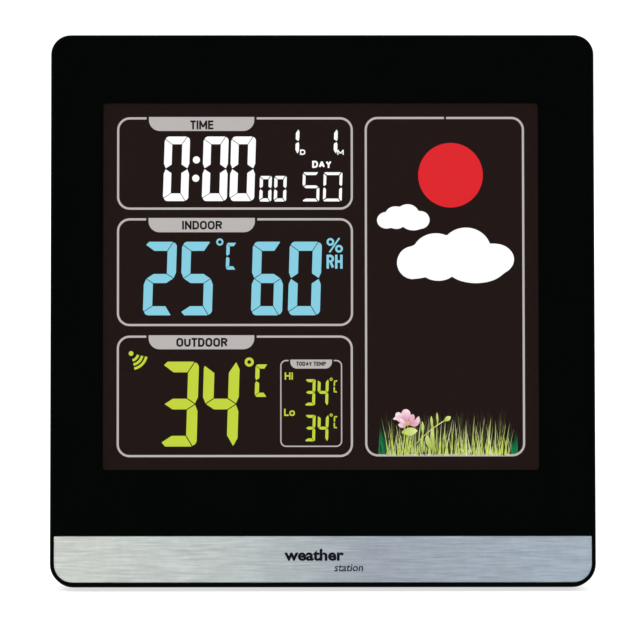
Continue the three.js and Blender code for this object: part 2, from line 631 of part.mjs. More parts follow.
// A pan-head screw with a cross recess, its head towards the back.
function screw([x, z], under, reach, headR, shaftR, sides) {
  const headH = headR * 0.65;
  const lathe = new THREE.LatheGeometry(
    [
      [0, 0],
      [shaftR * 0.5, 0],
      [shaftR, shaftR],
      [shaftR, reach],
      [headR, reach],
      [headR, reach + headH * 0.55],
      [headR * 0.75, reach + headH],
      [0, reach + headH],
    ].map(([r, y]) => new THREE.Vector2(r, y)),
    sides,
  );
  const top = reach + headH;
  const [arm, web, deep] = [headR * 0.62, headR * 0.16, headH * 0.6];
  const cross = join(
    box(-arm, arm, top - deep, top + 1, -web, web),
    box(-web, web, top - deep, top + 1, -arm, arm),
  );
  return cut(lathe, cross).translate([x, under - reach, z]);
}

function makeFasteners() {
  const rows = [
    ["case_screw_", CASE_SCREWS, 22.1, 10, 2.6, 1.1, 12],
    ["tray_screw_", TRAY_SCREWS, 12.1, 5, 1.9, 0.9, 8],
    ["board_screw_", BOARD_SCREWS, BOARD.y + BOARD_T + GAP, 2.3, 2, 0.9, 8],
  ];
  rows.forEach(([name, places, ...sizes]) =>
    places.forEach((at, i) => piece(name + (i + 1), "metal", screw(at, ...sizes))),
  );
}

function makeFeet() {
  const inside = GAP;
  [["base_foot_left", -1], ["base_foot_right", 1]].forEach(([name, side]) => {
    const [y0, y1] = [FOOT.y0 + inside, FOOT.y1 - inside];
    const top = FOOT.seat - inside;
    const half = FOOT.half - inside;
    const pad = profile([[y0, top], [y0, floorAt(y0)], [y1, floorAt(y1)], [y1, top]], side * FOOT.x - half,
      side * FOOT.x + half);
    piece(name, "rubber", pad);
  });
}

// ---------------------------------------------------------------- assembly

makeFront();
makeDisplay();
makeElectronics();
makeRearCover();
makePower();
piece("battery_door", "matte", batteryDoor());
makeStand();
makeKeys();
makeFasteners();
makeFeet();

// Lean the case back onto its leg, with the desk at z = 0 and the middle of the footprint at the origin.
const station = new THREE.Group();
caseGroup.rotation.x = -LEAN;
caseGroup.position.z = FLOOR_DROP * Math.cos(LEAN);
station.add(caseGroup);
station.updateMatrixWorld(true);
caseGroup.position.y = -new THREE.Box3().setFromObject(station, true).getCenter(new THREE.Vector3()).y;

export default station;
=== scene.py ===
# %% [markdown]
# # A home weather station in Blender
# The CAD model gives every part its place and its size. This lesson gives the parts their
# looks: rounded edges, finishes and the lit display. The first cell loads the CAD parts.

# %% Load the CAD parts
import json
import math
import bmesh
import bpy
from mathutils import Matrix, Vector


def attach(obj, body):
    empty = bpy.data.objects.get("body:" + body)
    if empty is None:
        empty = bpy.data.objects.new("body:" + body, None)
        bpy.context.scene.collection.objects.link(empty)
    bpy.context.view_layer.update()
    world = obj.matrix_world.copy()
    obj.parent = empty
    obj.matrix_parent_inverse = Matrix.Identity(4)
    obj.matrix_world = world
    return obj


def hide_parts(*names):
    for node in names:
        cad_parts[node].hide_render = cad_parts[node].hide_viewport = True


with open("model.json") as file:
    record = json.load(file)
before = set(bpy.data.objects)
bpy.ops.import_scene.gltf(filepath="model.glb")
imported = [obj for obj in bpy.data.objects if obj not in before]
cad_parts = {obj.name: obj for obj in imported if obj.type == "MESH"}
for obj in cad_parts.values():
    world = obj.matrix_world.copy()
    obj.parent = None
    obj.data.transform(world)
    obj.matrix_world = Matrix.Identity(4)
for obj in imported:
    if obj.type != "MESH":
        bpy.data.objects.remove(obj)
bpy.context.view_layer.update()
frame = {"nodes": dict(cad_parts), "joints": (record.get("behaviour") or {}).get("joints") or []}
scene = bpy.context.scene

# %% [markdown]
# The case stands leaning back on its leg, but its parts are easier to describe upright: x to
# the right, y to the back and z up, in millimetres, with the face at y = 0 and the bottom edge
# at z = 0. One matrix turns that upright drawing into the leaning model. The lean is read from
# a key's sliding direction, and the corner from the frame's own points, so nothing is typed in.

# %% The case's own upright frame
key_axis = Vector(next(j for j in frame["joints"] if j["name"] == "mode_press")["axis"])
LEAN = math.atan2(key_axis.z, -key_axis.y)
UPRIGHT = Matrix.Rotation(LEAN, 4, "X")
corners = [UPRIGHT @ v.co for v in frame["nodes"]["front_frame"].data.vertices]
CORNER = Vector((0, min(c.y for c in corners), min(c.z for c in corners)))
CASE = UPRIGHT.inverted() @ Matrix.Translation(CORNER) @ Matrix.Scale(0.001, 4)
TO_CASE = CASE.inverted()


def case_box(node):
    """Lowest and highest corner of a CAD part, upright, in millimetres."""
    found = [TO_CASE @ v.co for v in frame["nodes"][node].data.vertices]
    low = Vector(min(p[i] for p in found) for i in range(3))
    high = Vector(max(p[i] for p in found) for i in range(3))
    return low, high


face_box = [tuple(round(v, 2) for v in c) for c in case_box("front_frame")]
print("lean", round(math.degrees(LEAN), 2), "face", face_box)

# %% [markdown]
# A long lens far away keeps the square shape of the face, where a short lens close by would
# make its near edge wider. The camera stands a little above the face and slightly to its left.

# %% Camera
aim = Vector((-0.00265, 0, 0.09009))
CAMERA_DISTANCE, CAMERA_RISE, CAMERA_SIDE = 1.989, math.radians(5.3), math.radians(0.34)
camera_data = bpy.data.cameras.new("camera")
camera = bpy.data.objects.new("camera", camera_data)
scene.collection.objects.link(camera)
away = Vector((-math.sin(CAMERA_SIDE) * math.cos(CAMERA_RISE),
               -math.cos(CAMERA_SIDE) * math.cos(CAMERA_RISE), math.sin(CAMERA_RISE)))
camera.location = aim + CAMERA_DISTANCE * away
camera.rotation_euler = (-away).to_track_quat("-Z", "Y").to_euler()
SENSOR_MM, LENS_MM, FARTHEST_M = 36, 338.05, 100
camera_data.sensor_width, camera_data.lens = SENSOR_MM, LENS_MM
camera_data.clip_end = FARTHEST_M
scene.camera = camera
print("camera at", tuple(round(v, 3) for v in camera.location))

# %% [markdown]
# The studio is a wide pale floor, a pale sky and a few large soft lamps. The floor glows a
# little, as a light table does, so that shadows under the case stay faint. Gloss parts mirror
# what is around them. So mirrored rays pass the floor by, and for them the sky is dark near
# the horizon. The face then stays deep black, as it does between black cards in a studio.

# %% Floor, sky and lamps
def colour_of(red, green, blue):
    """A colour given as 0 to 255 screen values, as the linear values that nodes take."""
    return tuple((c / 255 / 12.92 if c <= 10 else ((c / 255 + 0.055) / 1.055) ** 2.4)
                 for c in (red, green, blue))


def joined(tree, source, output, target, entry):
    """Links an output of one node to an input of another."""
    tree.links.new(source.outputs[output], target.inputs[entry])


def studio_floor(half=10, grey=0.4, glow=0.68):
    """A wide dull floor that glows a little; half is half its width in metres."""
    mesh = bpy.data.meshes.new("floor")
    corners = [(-half, -half, 0), (half, -half, 0), (half, half, 0), (-half, half, 0)]
    mesh.from_pydata(corners, [], [(0, 1, 2, 3)])
    floor = bpy.data.objects.new("floor", mesh)
    scene.collection.objects.link(floor)
    paper = bpy.data.materials.new("floor_paper")
    paper.use_nodes = True
    shader = paper.node_tree.nodes["Principled BSDF"]
    shader.inputs["Base Color"].default_value = (grey, grey, grey, 1)
    shader.inputs["Roughness"].default_value = 1.0
    shader.inputs["Specular IOR Level"].default_value = 0.0
    shader.inputs["Emission Color"].default_value = (1, 1, 1, 1)
    shader.inputs["Emission Strength"].default_value = glow
    mesh.materials.append(paper)
    floor.visible_glossy = False


def studio_sky(fill, low, high, dark_below=0.32, bright_above=0.7):
    """A pale sky of strength fill; mirrored rays see it run from low to high between two heights."""
    world = bpy.data.worlds.new("studio")
    scene.world = world
    world.use_nodes = True
    tree = world.node_tree
    tree.nodes.clear()
    place = tree.nodes.new("ShaderNodeTexCoord")
    split = tree.nodes.new("ShaderNodeSeparateXYZ")
    ramp = tree.nodes.new("ShaderNodeMapRange")
    ramp.inputs["From Min"].default_value = dark_below
    ramp.inputs["From Max"].default_value = bright_above
    ramp.inputs["To Min"].default_value, ramp.inputs["To Max"].default_value = low, high
    path = tree.nodes.new("ShaderNodeLightPath")
    pick = tree.nodes.new("ShaderNodeMix")
    pick.inputs["A"].default_value = fill
    shade = tree.nodes.new("ShaderNodeBackground")
    shade.inputs["Color"].default_value = (1, 1, 1, 1)
    out = tree.nodes.new("ShaderNodeOutputWorld")
    joined(tree, place, "Generated", split, "Vector")
    joined(tree, split, "Z", ramp, "Value")
    joined(tree, path, "Is Glossy Ray", pick, "Factor")
    joined(tree, ramp, "Result", pick, "B")
    joined(tree, pick, "Result", shade, "Strength")
    joined(tree, shade, "Background", out, "Surface")


def soft_lamp(name, place, power, width, height):
    """A rectangular lamp, power in watts, aimed at the middle of the face."""
    data = bpy.data.lights.new(name, "AREA")
    data.shape, data.size, data.size_y, data.energy = "RECTANGLE", width, height, power
    lamp = bpy.data.objects.new(name, data)
    lamp.location = place
    lamp.rotation_euler = (LAMPS_AIM - Vector(place)).to_track_quat("-Z", "Y").to_euler()
    scene.collection.objects.link(lamp)


LAMPS_AIM = Vector((0, 0, 0.09))
studio_floor()
studio_sky(1.14, 0.01, 0.4)
soft_lamp("key_lamp", (-1.3, -1.5, 2.1), 32, 1.6, 1.2)
soft_lamp("side_lamp", (1.9, -0.9, 1.5), 12, 1.2, 1.2)
soft_lamp("back_lamp", (0.6, 2.2, 1.7), 26, 1.8, 1.2)
scene.view_settings.view_transform = "Standard"
print("lamps:", len(bpy.data.lights))

# %% [markdown]
# Every finish here is made the same way: a Principled shader whose colour drifts a little in
# soft patches, whose roughness drifts with it, and whose surface has a fine grain through a
# Bump node. Real moulded, brushed or printed parts are never one flat colour. The patterns
# read Object coordinates, so they sit still on the part.

# %% A maker of finishes
COLOUR_A, COLOUR_B, COLOUR_OUT = 6, 7, 2  # a Mix node's colour sockets
PATCH_DETAIL, GRAIN_DETAIL = 4, 3  # layers of a Noise node


def finish(name, colour, drift=None, rough=0.5, rough_swing=0.04, patch=12, grain=0.3, depth=0.004,
           metal=0.0, specular=0.5, stretch=(1, 1, 1), glow=None, glow_strength=1.0, alpha=1.0):
    """patch, grain and depth are in millimetres; stretch lengthens the grain along x, y or z."""
    made = bpy.data.materials.new(name)
    made.use_nodes = True
    tree = made.node_tree
    shader = tree.nodes["Principled BSDF"]
    place = tree.nodes.new("ShaderNodeTexCoord")
    lay = tree.nodes.new("ShaderNodeMapping")
    lay.inputs["Scale"].default_value = [1 / s for s in stretch]
    patches = tree.nodes.new("ShaderNodeTexNoise")
    patches.inputs["Scale"].default_value = 1000 / patch
    patches.inputs["Detail"].default_value = PATCH_DETAIL
    fine = tree.nodes.new("ShaderNodeTexNoise")
    fine.inputs["Scale"].default_value = 1000 / grain
    fine.inputs["Detail"].default_value = GRAIN_DETAIL
    blend = tree.nodes.new("ShaderNodeMix")
    blend.data_type = "RGBA"
    second = drift or tuple(c * 0.8 for c in colour)
    blend.inputs[COLOUR_A].default_value = (*colour, 1)
    blend.inputs[COLOUR_B].default_value = (*second, 1)
    spread = tree.nodes.new("ShaderNodeMapRange")
    spread.inputs["From Min"].default_value, spread.inputs["From Max"].default_value = 0.3, 0.7
    spread.inputs["To Min"].default_value = max(0.0, rough - rough_swing)
    spread.inputs["To Max"].default_value = min(1.0, rough + rough_swing)
    bump = tree.nodes.new("ShaderNodeBump")
    bump.inputs["Strength"].default_value = 1.0
    bump.inputs["Distance"].default_value = depth / 1000
    joined(tree, place, "Object", patches, "Vector")
    joined(tree, place, "Object", lay, "Vector")
    joined(tree, lay, "Vector", fine, "Vector")
    joined(tree, patches, "Fac", blend, "Factor")
    joined(tree, blend, COLOUR_OUT, shader, "Base Color")
    joined(tree, fine, "Fac", spread, "Value")
    joined(tree, spread, "Result", shader, "Roughness")
    joined(tree, fine, "Fac", bump, "Height")
    joined(tree, bump, "Normal", shader, "Normal")
    shader.inputs["Metallic"].default_value = metal
    shader.inputs["Specular IOR Level"].default_value = specular
    shader.inputs["Alpha"].default_value = alpha
    if glow:
        shader.inputs["Emission Color"].default_value = (*glow, 1)
        shader.inputs["Emission Strength"].default_value = glow_strength
    return made


frame_gloss = finish("frame_gloss", (0.0015, 0.0018, 0.0017), rough=0.07, rough_swing=0.015,
                     grain=2.5, depth=0.0004)
LENS_SURFACE = {"rough": 0.03, "rough_swing": 0.01, "grain": 6, "depth": 0.0002}
lens_print = finish("lens_print", (0.0008, 0.0014, 0.0012), **LENS_SURFACE)
lens_clear = finish("lens_clear", (0.01, 0.01, 0.01), alpha=0.05, **LENS_SURFACE)
case_plastic = finish("case_plastic", colour_of(50, 51, 53), colour_of(44, 45, 47), rough=0.5,
                      grain=0.28, depth=0.012)
key_plastic = finish("key_plastic", colour_of(38, 39, 41), colour_of(33, 34, 36), rough=0.34,
                     grain=0.5, depth=0.002)
print("finishes:", len(bpy.data.materials))

# %% [markdown]
# Two helpers turn points into parts. The first makes a mesh from one or more lists of points
# and faces, drawn upright in millimetres, and lays it into the model. The second makes the
# part: it gets its finish, the body it moves with, and the CAD parts that it stands for. A
# shape may carry two more numbers for its points: how far along the shape each one is, and a
# tone, which the plant finishes read.

# %% Helpers for parts
def mesh_of(name, shapes):
    """One mesh from shapes, each a list of points and a list of faces, in case millimetres."""
    points, faces, along, tone = [], [], [], []
    for shape in shapes:
        start = len(points)
        tone += [shape[3] if len(shape) > 3 else 0.5] * len(shape[0])
        points += shape[0]
        faces += [[i + start for i in face] for face in shape[1]]
        along += shape[2] if len(shape) > 2 else [0.5] * len(shape[0])
    mesh = bpy.data.meshes.new(name)
    mesh.from_pydata(points, [], faces)
    mesh.attributes.new("along", "FLOAT", "POINT").data.foreach_set("value", along)
    mesh.attributes.new("tone", "FLOAT", "POINT").data.foreach_set("value", tone)
    mesh.transform(CASE)
    return mesh


def outward(mesh):
    """Turns all faces of a closed mesh outwards."""
    work = bmesh.new()
    work.from_mesh(mesh)
    bmesh.ops.recalc_face_normals(work, faces=work.faces)
    work.to_mesh(mesh)
    work.free()
    return mesh


def part(name, mesh, material, body="case", stands_for=()):
    """A finished piece: its finish, the body it rides on and the CAD parts that it replaces."""
    mesh.materials.clear()
    mesh.materials.append(material)
    made = bpy.data.objects.new(name, mesh)
    scene.collection.objects.link(made)
    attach(made, body)
    for node in stands_for:
        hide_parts(node)
    return made


# %% [markdown]
# Flat shapes are the alphabet of this model: a plate fills an outline, an arc rounds a corner,
# and a ribbon follows a path with an even width. All are closed, so they have a real thickness
# and can be exported as solids. The order of an outline's points decides which way its faces
# look, so plate turns the outline round where it has to.

# %% Plates, arcs and ribbons
def plate(outline, front, back):
    """A thin closed plate from an outline of (x, z) points, between two depths."""
    area = sum(a[0] * b[1] - b[0] * a[1] for a, b in zip(outline, outline[1:] + outline[:1]))
    ring = list(outline) if (area > 0) == (front < back) else list(reversed(outline))
    n = len(ring)
    points = [(x, front, z) for x, z in ring] + [(x, back, z) for x, z in ring]
    faces = [list(range(n)), list(range(2 * n - 1, n - 1, -1))]
    faces += [[i, i + n, (i + 1) % n + n, (i + 1) % n] for i in range(n)]
    return points, faces


def arc(x, z, radius, start, end, steps=10):
    """Points on an arc, angles in degrees, anticlockwise seen from the front."""
    turns = [math.radians(start + (end - start) * i / steps) for i in range(steps + 1)]
    return [(x + radius * math.cos(t), z + radius * math.sin(t)) for t in turns]


def ribbon(path, width, front, back, closed=False):
    """A flat closed line of even width along a path of (x, z) points."""
    n, sides = len(path), ([], [])
    for i, (x, z) in enumerate(path):
        before = path[i - 1] if i or closed else path[i]
        after = path[(i + 1) % n] if i < n - 1 or closed else path[i]
        way = Vector((after[0] - before[0], after[1] - before[1])).normalized()
        sides[0].append((x + way.y * width / 2, z - way.x * width / 2))
        sides[1].append((x - way.y * width / 2, z + way.x * width / 2))
    points = [(x, y, z) for y in (front, back) for side in sides for x, z in side]
    faces = []
    for i in range(n if closed else n - 1):
        j = (i + 1) % n
        faces.append([i, j, j + n, i + n])
        faces.append([i + 2 * n, i + 3 * n, j + 3 * n, j + 2 * n])
        faces.append([i, i + 2 * n, j + 2 * n, j])
        faces.append([i + n, j + n, j + 3 * n, i + 3 * n])
    if not closed:
        faces.append([0, n, 3 * n, 2 * n])
        e = n - 1
        faces.append([e, e + 2 * n, e + 3 * n, e + n])
    return points, faces


# %% [markdown]
# Moulded edges are never knife sharp, and the small round of an edge is what catches the
# light. The CAD part's loose triangles are merged and its flat faces joined in a copy, so that
# a Bevel modifier finds clean edges. Weighted normals then keep the flat faces looking flat.

# %% Rounded edges
MERGE_M, FLAT_ANGLE = 2e-6, math.radians(0.4)


def softened(node, width, angle=35, segments=2):
    """A copy of a CAD part's mesh, its edges sharper than angle rounded by width millimetres."""
    work = bmesh.new()
    work.from_mesh(frame["nodes"][node].data)
    bmesh.ops.remove_doubles(work, verts=work.verts, dist=MERGE_M)
    bmesh.ops.dissolve_limit(work, angle_limit=FLAT_ANGLE, verts=work.verts, edges=work.edges)
    mesh = bpy.data.meshes.new(node + "_soft")
    work.to_mesh(mesh)
    work.free()
    mesh.shade_smooth()
    mesh.set_sharp_from_angle(angle=math.radians(angle))
    carrier = bpy.data.objects.new(node + "_carrier", mesh)
    scene.collection.objects.link(carrier)
    bevel = carrier.modifiers.new("edges", "BEVEL")
    bevel.width, bevel.segments, bevel.limit_method = width / 1000, segments, "ANGLE"
    bevel.angle_limit, bevel.use_clamp_overlap = math.radians(angle), True
    bevel.miter_outer, bevel.harden_normals = "MITER_ARC", True
    even = carrier.modifiers.new("even_shading", "WEIGHTED_NORMAL")
    even.weight, even.keep_sharp = 100, True
    done = bpy.data.meshes.new_from_object(carrier.evaluated_get(bpy.context.evaluated_depsgraph_get()))
    bpy.data.objects.remove(carrier)
    print(node, "edges rounded to", width, "mm, faces", len(done.polygons))
    return done


# %% [markdown]
# ## The case
# The front frame is one gloss black moulding. Its edges are small but catch the light, so a
# copy of the CAD part gets a fine bevel and takes the CAD part's place.

# %% Front frame, rear cover, door and leg
part("front_frame_gloss", softened("front_frame", 0.3), frame_gloss,
     stands_for=["front_frame"])
part("rear_cover_shell", softened("rear_cover", 0.25), case_plastic, stands_for=["rear_cover"])
part("battery_door_shell", softened("battery_door", 0.2), case_plastic, body="door",
     stands_for=["battery_door"])
part("stand_leg_shell", softened("stand_leg", 0.35), case_plastic, body="stand", stands_for=["stand_leg"])

# %% [markdown]
# ## The face
# The face is a clear panel with a black print on its back that leaves a window free, and a
# brushed metal strip below it. The black border is one ring of faces between the panel's
# outline and the window's outline. Two outlines with the same number of points can be joined
# by quads, so both are walked by angle from the same centre.

# %% Outlines
def rounded(left, bottom, right, top, low, high, steps=8):
    """An outline with the radius low for its bottom corners and high for its top corners."""
    turns = [(right - high, top - high, high), (left + high, top - high, high),
             (left + low, bottom + low, low), (right - low, bottom + low, low)]
    outline = []
    for quarter, (x, z, radius) in enumerate(turns):
        outline += arc(x, z, radius, 90 * quarter, 90 * quarter + 90, steps)
    return outline


def ringed(layers):
    """A closed ring shape: layers of equally long outlines, each with its depth, joined in a loop."""
    n = len(layers[0][1])
    points = [(x, y, z) for y, outline in layers for x, z in outline]
    faces = []
    for k in range(len(layers)):
        m = (k + 1) % len(layers)
        for i in range(n):
            j = (i + 1) % n
            faces.append([k * n + i, k * n + j, m * n + j, m * n + i])
    return points, faces


def shrunk(outline, inset, centre):
    """An outline pulled towards a centre by a few tenths, for a fine chamfer."""
    cx, cz = centre
    return [(x - math.copysign(inset, x - cx), z - math.copysign(inset, z - cz)) for x, z in outline]


# %% Lens border and window
LENS_CHAMFER = 0.12
lens_low, lens_high = case_box("front_lens")
WINDOW = (-73.4, 38.9, 72.2, 162.0)
window_centre = ((WINDOW[0] + WINDOW[2]) / 2, (WINDOW[1] + WINDOW[3]) / 2)
lens_edge = rounded(lens_low.x, lens_low.z, lens_high.x, lens_high.z, 0.4, 5.3)
window_edge = rounded(*WINDOW, 1, 1)
border = ringed([
    (lens_low.y + LENS_CHAMFER, lens_edge),
    (lens_low.y, shrunk(lens_edge, LENS_CHAMFER, window_centre)),
    (lens_low.y, window_edge),
    (lens_high.y, window_edge),
    (lens_high.y, lens_edge),
])
part("lens_border", mesh_of("lens_border", [border]), lens_print,
     stands_for=["front_lens"])
window_fit = shrunk(window_edge, 0.02, window_centre)
part("lens_window", mesh_of("lens_window", [plate(window_fit, lens_low.y + 0.01, lens_high.y - 0.01)]),
     lens_clear)
print("window", round(WINDOW[2] - WINDOW[0], 1), "x", round(WINDOW[3] - WINDOW[1], 1), "mm")

# %% [markdown]
# The strip is aluminium brushed lengthways. The finish is noise stretched along x, so that
# each streak is long and thin, in the colour, the roughness and the bump alike. A colour ramp
# along x paints a reflection into the colour: brighter and warmer at the left end, darker and
# cooler at the right, as a room with coloured walls would give; the plain studio has none.

# %% Strip shape
STRIP_CHAMFER = 0.15
strip_low, strip_high = case_box("trim_strip")
strip_edge = rounded(strip_low.x, strip_low.z, strip_high.x, strip_high.z, 6.2, 0.3)
strip_centre = (0, (strip_low.z + strip_high.z) / 2)
n_edge = len(strip_edge)
strip_shape = (
    [(x, strip_low.y + STRIP_CHAMFER, z) for x, z in strip_edge]
    + [(x, strip_low.y, z) for x, z in shrunk(strip_edge, STRIP_CHAMFER, strip_centre)]
    + [(x, strip_high.y, z) for x, z in strip_edge],
    [[n_edge + i for i in range(n_edge)], [3 * n_edge - 1 - i for i in range(n_edge)]]
    + [[i, (i + 1) % n_edge, (i + 1) % n_edge + n_edge, i + n_edge] for i in range(n_edge)]
    + [[i, i + 2 * n_edge, (i + 1) % n_edge + 2 * n_edge, (i + 1) % n_edge] for i in range(n_edge)],
)
print("strip", round(strip_high.x - strip_low.x, 1), "x", round(strip_high.z - strip_low.z, 1), "mm")

# %% Brushed finish
# Painted reflection: colour factors along the strip, brighter and warmer at the left, darker and bluer at the
# right.
PAINTED_REFLECTION_STOPS = [(0.0, (1.12, 1.15, 1.08)), (0.3, (0.96, 1.03, 1.02)), (0.6, (0.65, 0.72, 0.83)),
         (1.0, (0.69, 0.8, 0.94))]


def brushed_strip():
    """Brushed metal: long streaks, and a painted reflection, bright and warm at left, dim and cool at right.
    """
    made = finish("brushed_aluminium", (0.71, 0.72, 0.71), (0.6, 0.61, 0.61), rough=0.42, rough_swing=0.1,
                  patch=2.4, grain=0.42, depth=0.008, metal=0.5, stretch=(24, 1, 1))
    tree = made.node_tree
    shader = tree.nodes["Principled BSDF"]
    base = next(n for n in tree.nodes if n.type == "MIX")
    noises = [n for n in tree.nodes if n.type == "TEX_NOISE"]
    streak = next(n for n in noises if n.inputs["Detail"].default_value == GRAIN_DETAIL)
    place = next(n for n in tree.nodes if n.type == "TEX_COORD")
    across = tree.nodes.new("ShaderNodeSeparateXYZ")
    joined(tree, place, "Object", across, "Vector")
    reach = tree.nodes.new("ShaderNodeMapRange")
    reach.inputs["From Min"].default_value = strip_low.x / 1000
    reach.inputs["From Max"].default_value = strip_high.x / 1000
    joined(tree, across, "X", reach, "Value")
    # The painted reflection: a ramp along x that multiplies the strip's colour.
    painted_reflection = tree.nodes.new("ShaderNodeValToRGB")
    while len(painted_reflection.color_ramp.elements) < len(PAINTED_REFLECTION_STOPS):
        painted_reflection.color_ramp.elements.new(0.5)
    for element, (spot, shade) in zip(painted_reflection.color_ramp.elements, PAINTED_REFLECTION_STOPS):
        element.position, element.color = spot, (*shade, 1)
    joined(tree, reach, "Result", painted_reflection, "Fac")
    lines = tree.nodes.new("ShaderNodeMapRange")
    lines.inputs["From Min"].default_value, lines.inputs["From Max"].default_value = 0.3, 0.7
    lines.inputs["To Min"].default_value, lines.inputs["To Max"].default_value = 0.86, 1.1
    joined(tree, streak, "Fac", lines, "Value")
    first, second = (tree.nodes.new("ShaderNodeMix") for _ in range(2))
    for mix in (first, second):
        mix.data_type, mix.blend_type = "RGBA", "MULTIPLY"
        mix.inputs["Factor"].default_value = 1
    joined(tree, base, COLOUR_OUT, first, COLOUR_A)
    joined(tree, painted_reflection, "Color", first, COLOUR_B)
    joined(tree, first, COLOUR_OUT, second, COLOUR_A)
    joined(tree, lines, "Result", second, COLOUR_B)
    joined(tree, second, COLOUR_OUT, shader, "Base Color")
    return made


brushed = brushed_strip()
part("trim_strip_brushed", mesh_of("trim_strip", [strip_shape]), brushed,
     stands_for=["trim_strip"])

# %% [markdown]
# Lettering comes from Blender's own font: a text object is turned into a mesh, measured, and
# scaled into the box where the word belongs. Only plain, generic words are used.

# %% Lettering
def word(text, box, front, back, weight=0.0, lean=0.0):
    """A word as a closed mesh shape that fills the box (left, bottom, right, top)."""
    curve = bpy.data.curves.new(text, "FONT")
    curve.body, curve.extrude, curve.offset, curve.resolution_u = text, 0.5, weight, 3
    carrier = bpy.data.objects.new("word_carrier", curve)
    scene.collection.objects.link(carrier)
    flat = bpy.data.meshes.new_from_object(carrier.evaluated_get(bpy.context.evaluated_depsgraph_get()))
    bpy.data.objects.remove(carrier)
    work = bmesh.new()
    work.from_mesh(flat)
    bmesh.ops.remove_doubles(work, verts=work.verts, dist=1e-4)
    bmesh.ops.dissolve_degenerate(work, dist=1e-5, edges=work.edges)
    bmesh.ops.holes_fill(work, edges=[e for e in work.edges if e.is_boundary])
    work.verts.ensure_lookup_table()
    work.verts.index_update()
    xs, zs = [v.co.x for v in work.verts], [v.co.y for v in work.verts]
    left, bottom, right, top = box
    points = []
    for v in work.verts:
        rise = (v.co.y - min(zs)) / (max(zs) - min(zs))
        x = left + (v.co.x - min(xs)) / (max(xs) - min(xs)) * (right - left) + lean * rise * (top - bottom)
        points.append((x, front if v.co.z > 0 else back, bottom + rise * (top - bottom)))
    faces = [[v.index for v in face.verts] for face in work.faces]
    work.free()
    return points, faces


ink = finish("strip_ink", colour_of(12, 13, 20), colour_of(18, 19, 28), rough=0.6, patch=3, grain=0.4,
             depth=0.001, specular=0.05)
PRINT_LAYER = (strip_low.y - 0.05, strip_low.y + 0.02)
strip_words = [
    word("weather", (-12.9, 8.5, 7.0, 12.5), *PRINT_LAYER, weight=0.034),
    word("station", (3.8, 5.0, 13.2, 7.4), *PRINT_LAYER, weight=0.008, lean=0.15),
]
print("strip words:", len(strip_words), "points", sum(len(shape[0]) for shape in strip_words))
part("strip_lettering", outward(mesh_of("strip_lettering", strip_words)), ink)

# %% [markdown]
# ## The lit display
# A colour display shows flat shapes of light: frame lines, tabs, number segments and a
# picture. Each shape is a thin closed plate just in front of the glass. Light comes from the
# plate's own finish, with a plain glow colour and strength, over a dark base.

# %% Glow finishes
BACK_OF_ART = case_box("lcd_front_glass")[0].y - 0.04
FRONT_OF_ART = BACK_OF_ART - 0.25
ON_GLASS = Matrix.Translation((-0.24, 0, 0.72)) @ Matrix.Diagonal((0.9973, 1, 1, 1))


def art_mesh(name, shapes):
    """A mesh of display shapes: they are drawn on the glass's own grid, then set on the glass."""
    placed = []
    for shape in shapes:
        placed.append(([tuple(ON_GLASS @ Vector(p)) for p in shape[0]], *shape[1:]))
    return mesh_of(name, placed)


def lit(name, red, green, blue, strength=1.0):
    """A lit colour: the glow carries it, and the base only adds a trace of print."""
    full = colour_of(red, green, blue)
    faint = tuple(c * 0.04 for c in full)
    return finish(name, faint, tuple(c * 0.03 for c in full), rough=0.6, patch=4, grain=0.2, depth=0.001,
                  specular=0.1, glow=full, glow_strength=strength)


lit_line = lit("lit_line", 192, 186, 185)
lit_white = lit("lit_white", 255, 255, 255, 1.1)
lit_blue = lit("lit_blue", 139, 212, 232)
lit_green = lit("lit_green", 200, 218, 62)
lit_red = lit("lit_red", 228, 36, 43)
tab_ink = finish("tab_ink", colour_of(24, 20, 20), rough=0.6, patch=2, grain=0.2, depth=0.001, specular=0.1)
glass_field = finish("glass_field", (0.0016, 0.0009, 0.0008), (0.0012, 0.0007, 0.0006), rough=0.3, patch=30,
                     grain=0.3, depth=0.0005, specular=0.1, glow=colour_of(34, 23, 21), glow_strength=0.9)
print("shapes of light from", round(FRONT_OF_ART, 2), "to", round(BACK_OF_ART, 2), "mm behind the face")

# %% [markdown]
# The names on a display are narrow, plain capitals of one even stroke. Each letter is a few
# paths in a unit square, drawn with the same ribbon as the frame lines, so its weight can be
# chosen freely and it stays clean at any width.

# %% Stroke letters
def curve_of(*marks):
    """A path through marks; a mark of six numbers is an arc (x, z, start, end, width, height)."""
    path = []
    for mark in marks:
        if len(mark) == 2:
            path.append(mark)
        else:
            x, z, start, end, rx, rz = mark
            for k in range(7):
                turn = math.radians(start + (end - start) * k / 6)
                path.append((x + rx * math.cos(turn), z + rz * math.sin(turn)))
    return path


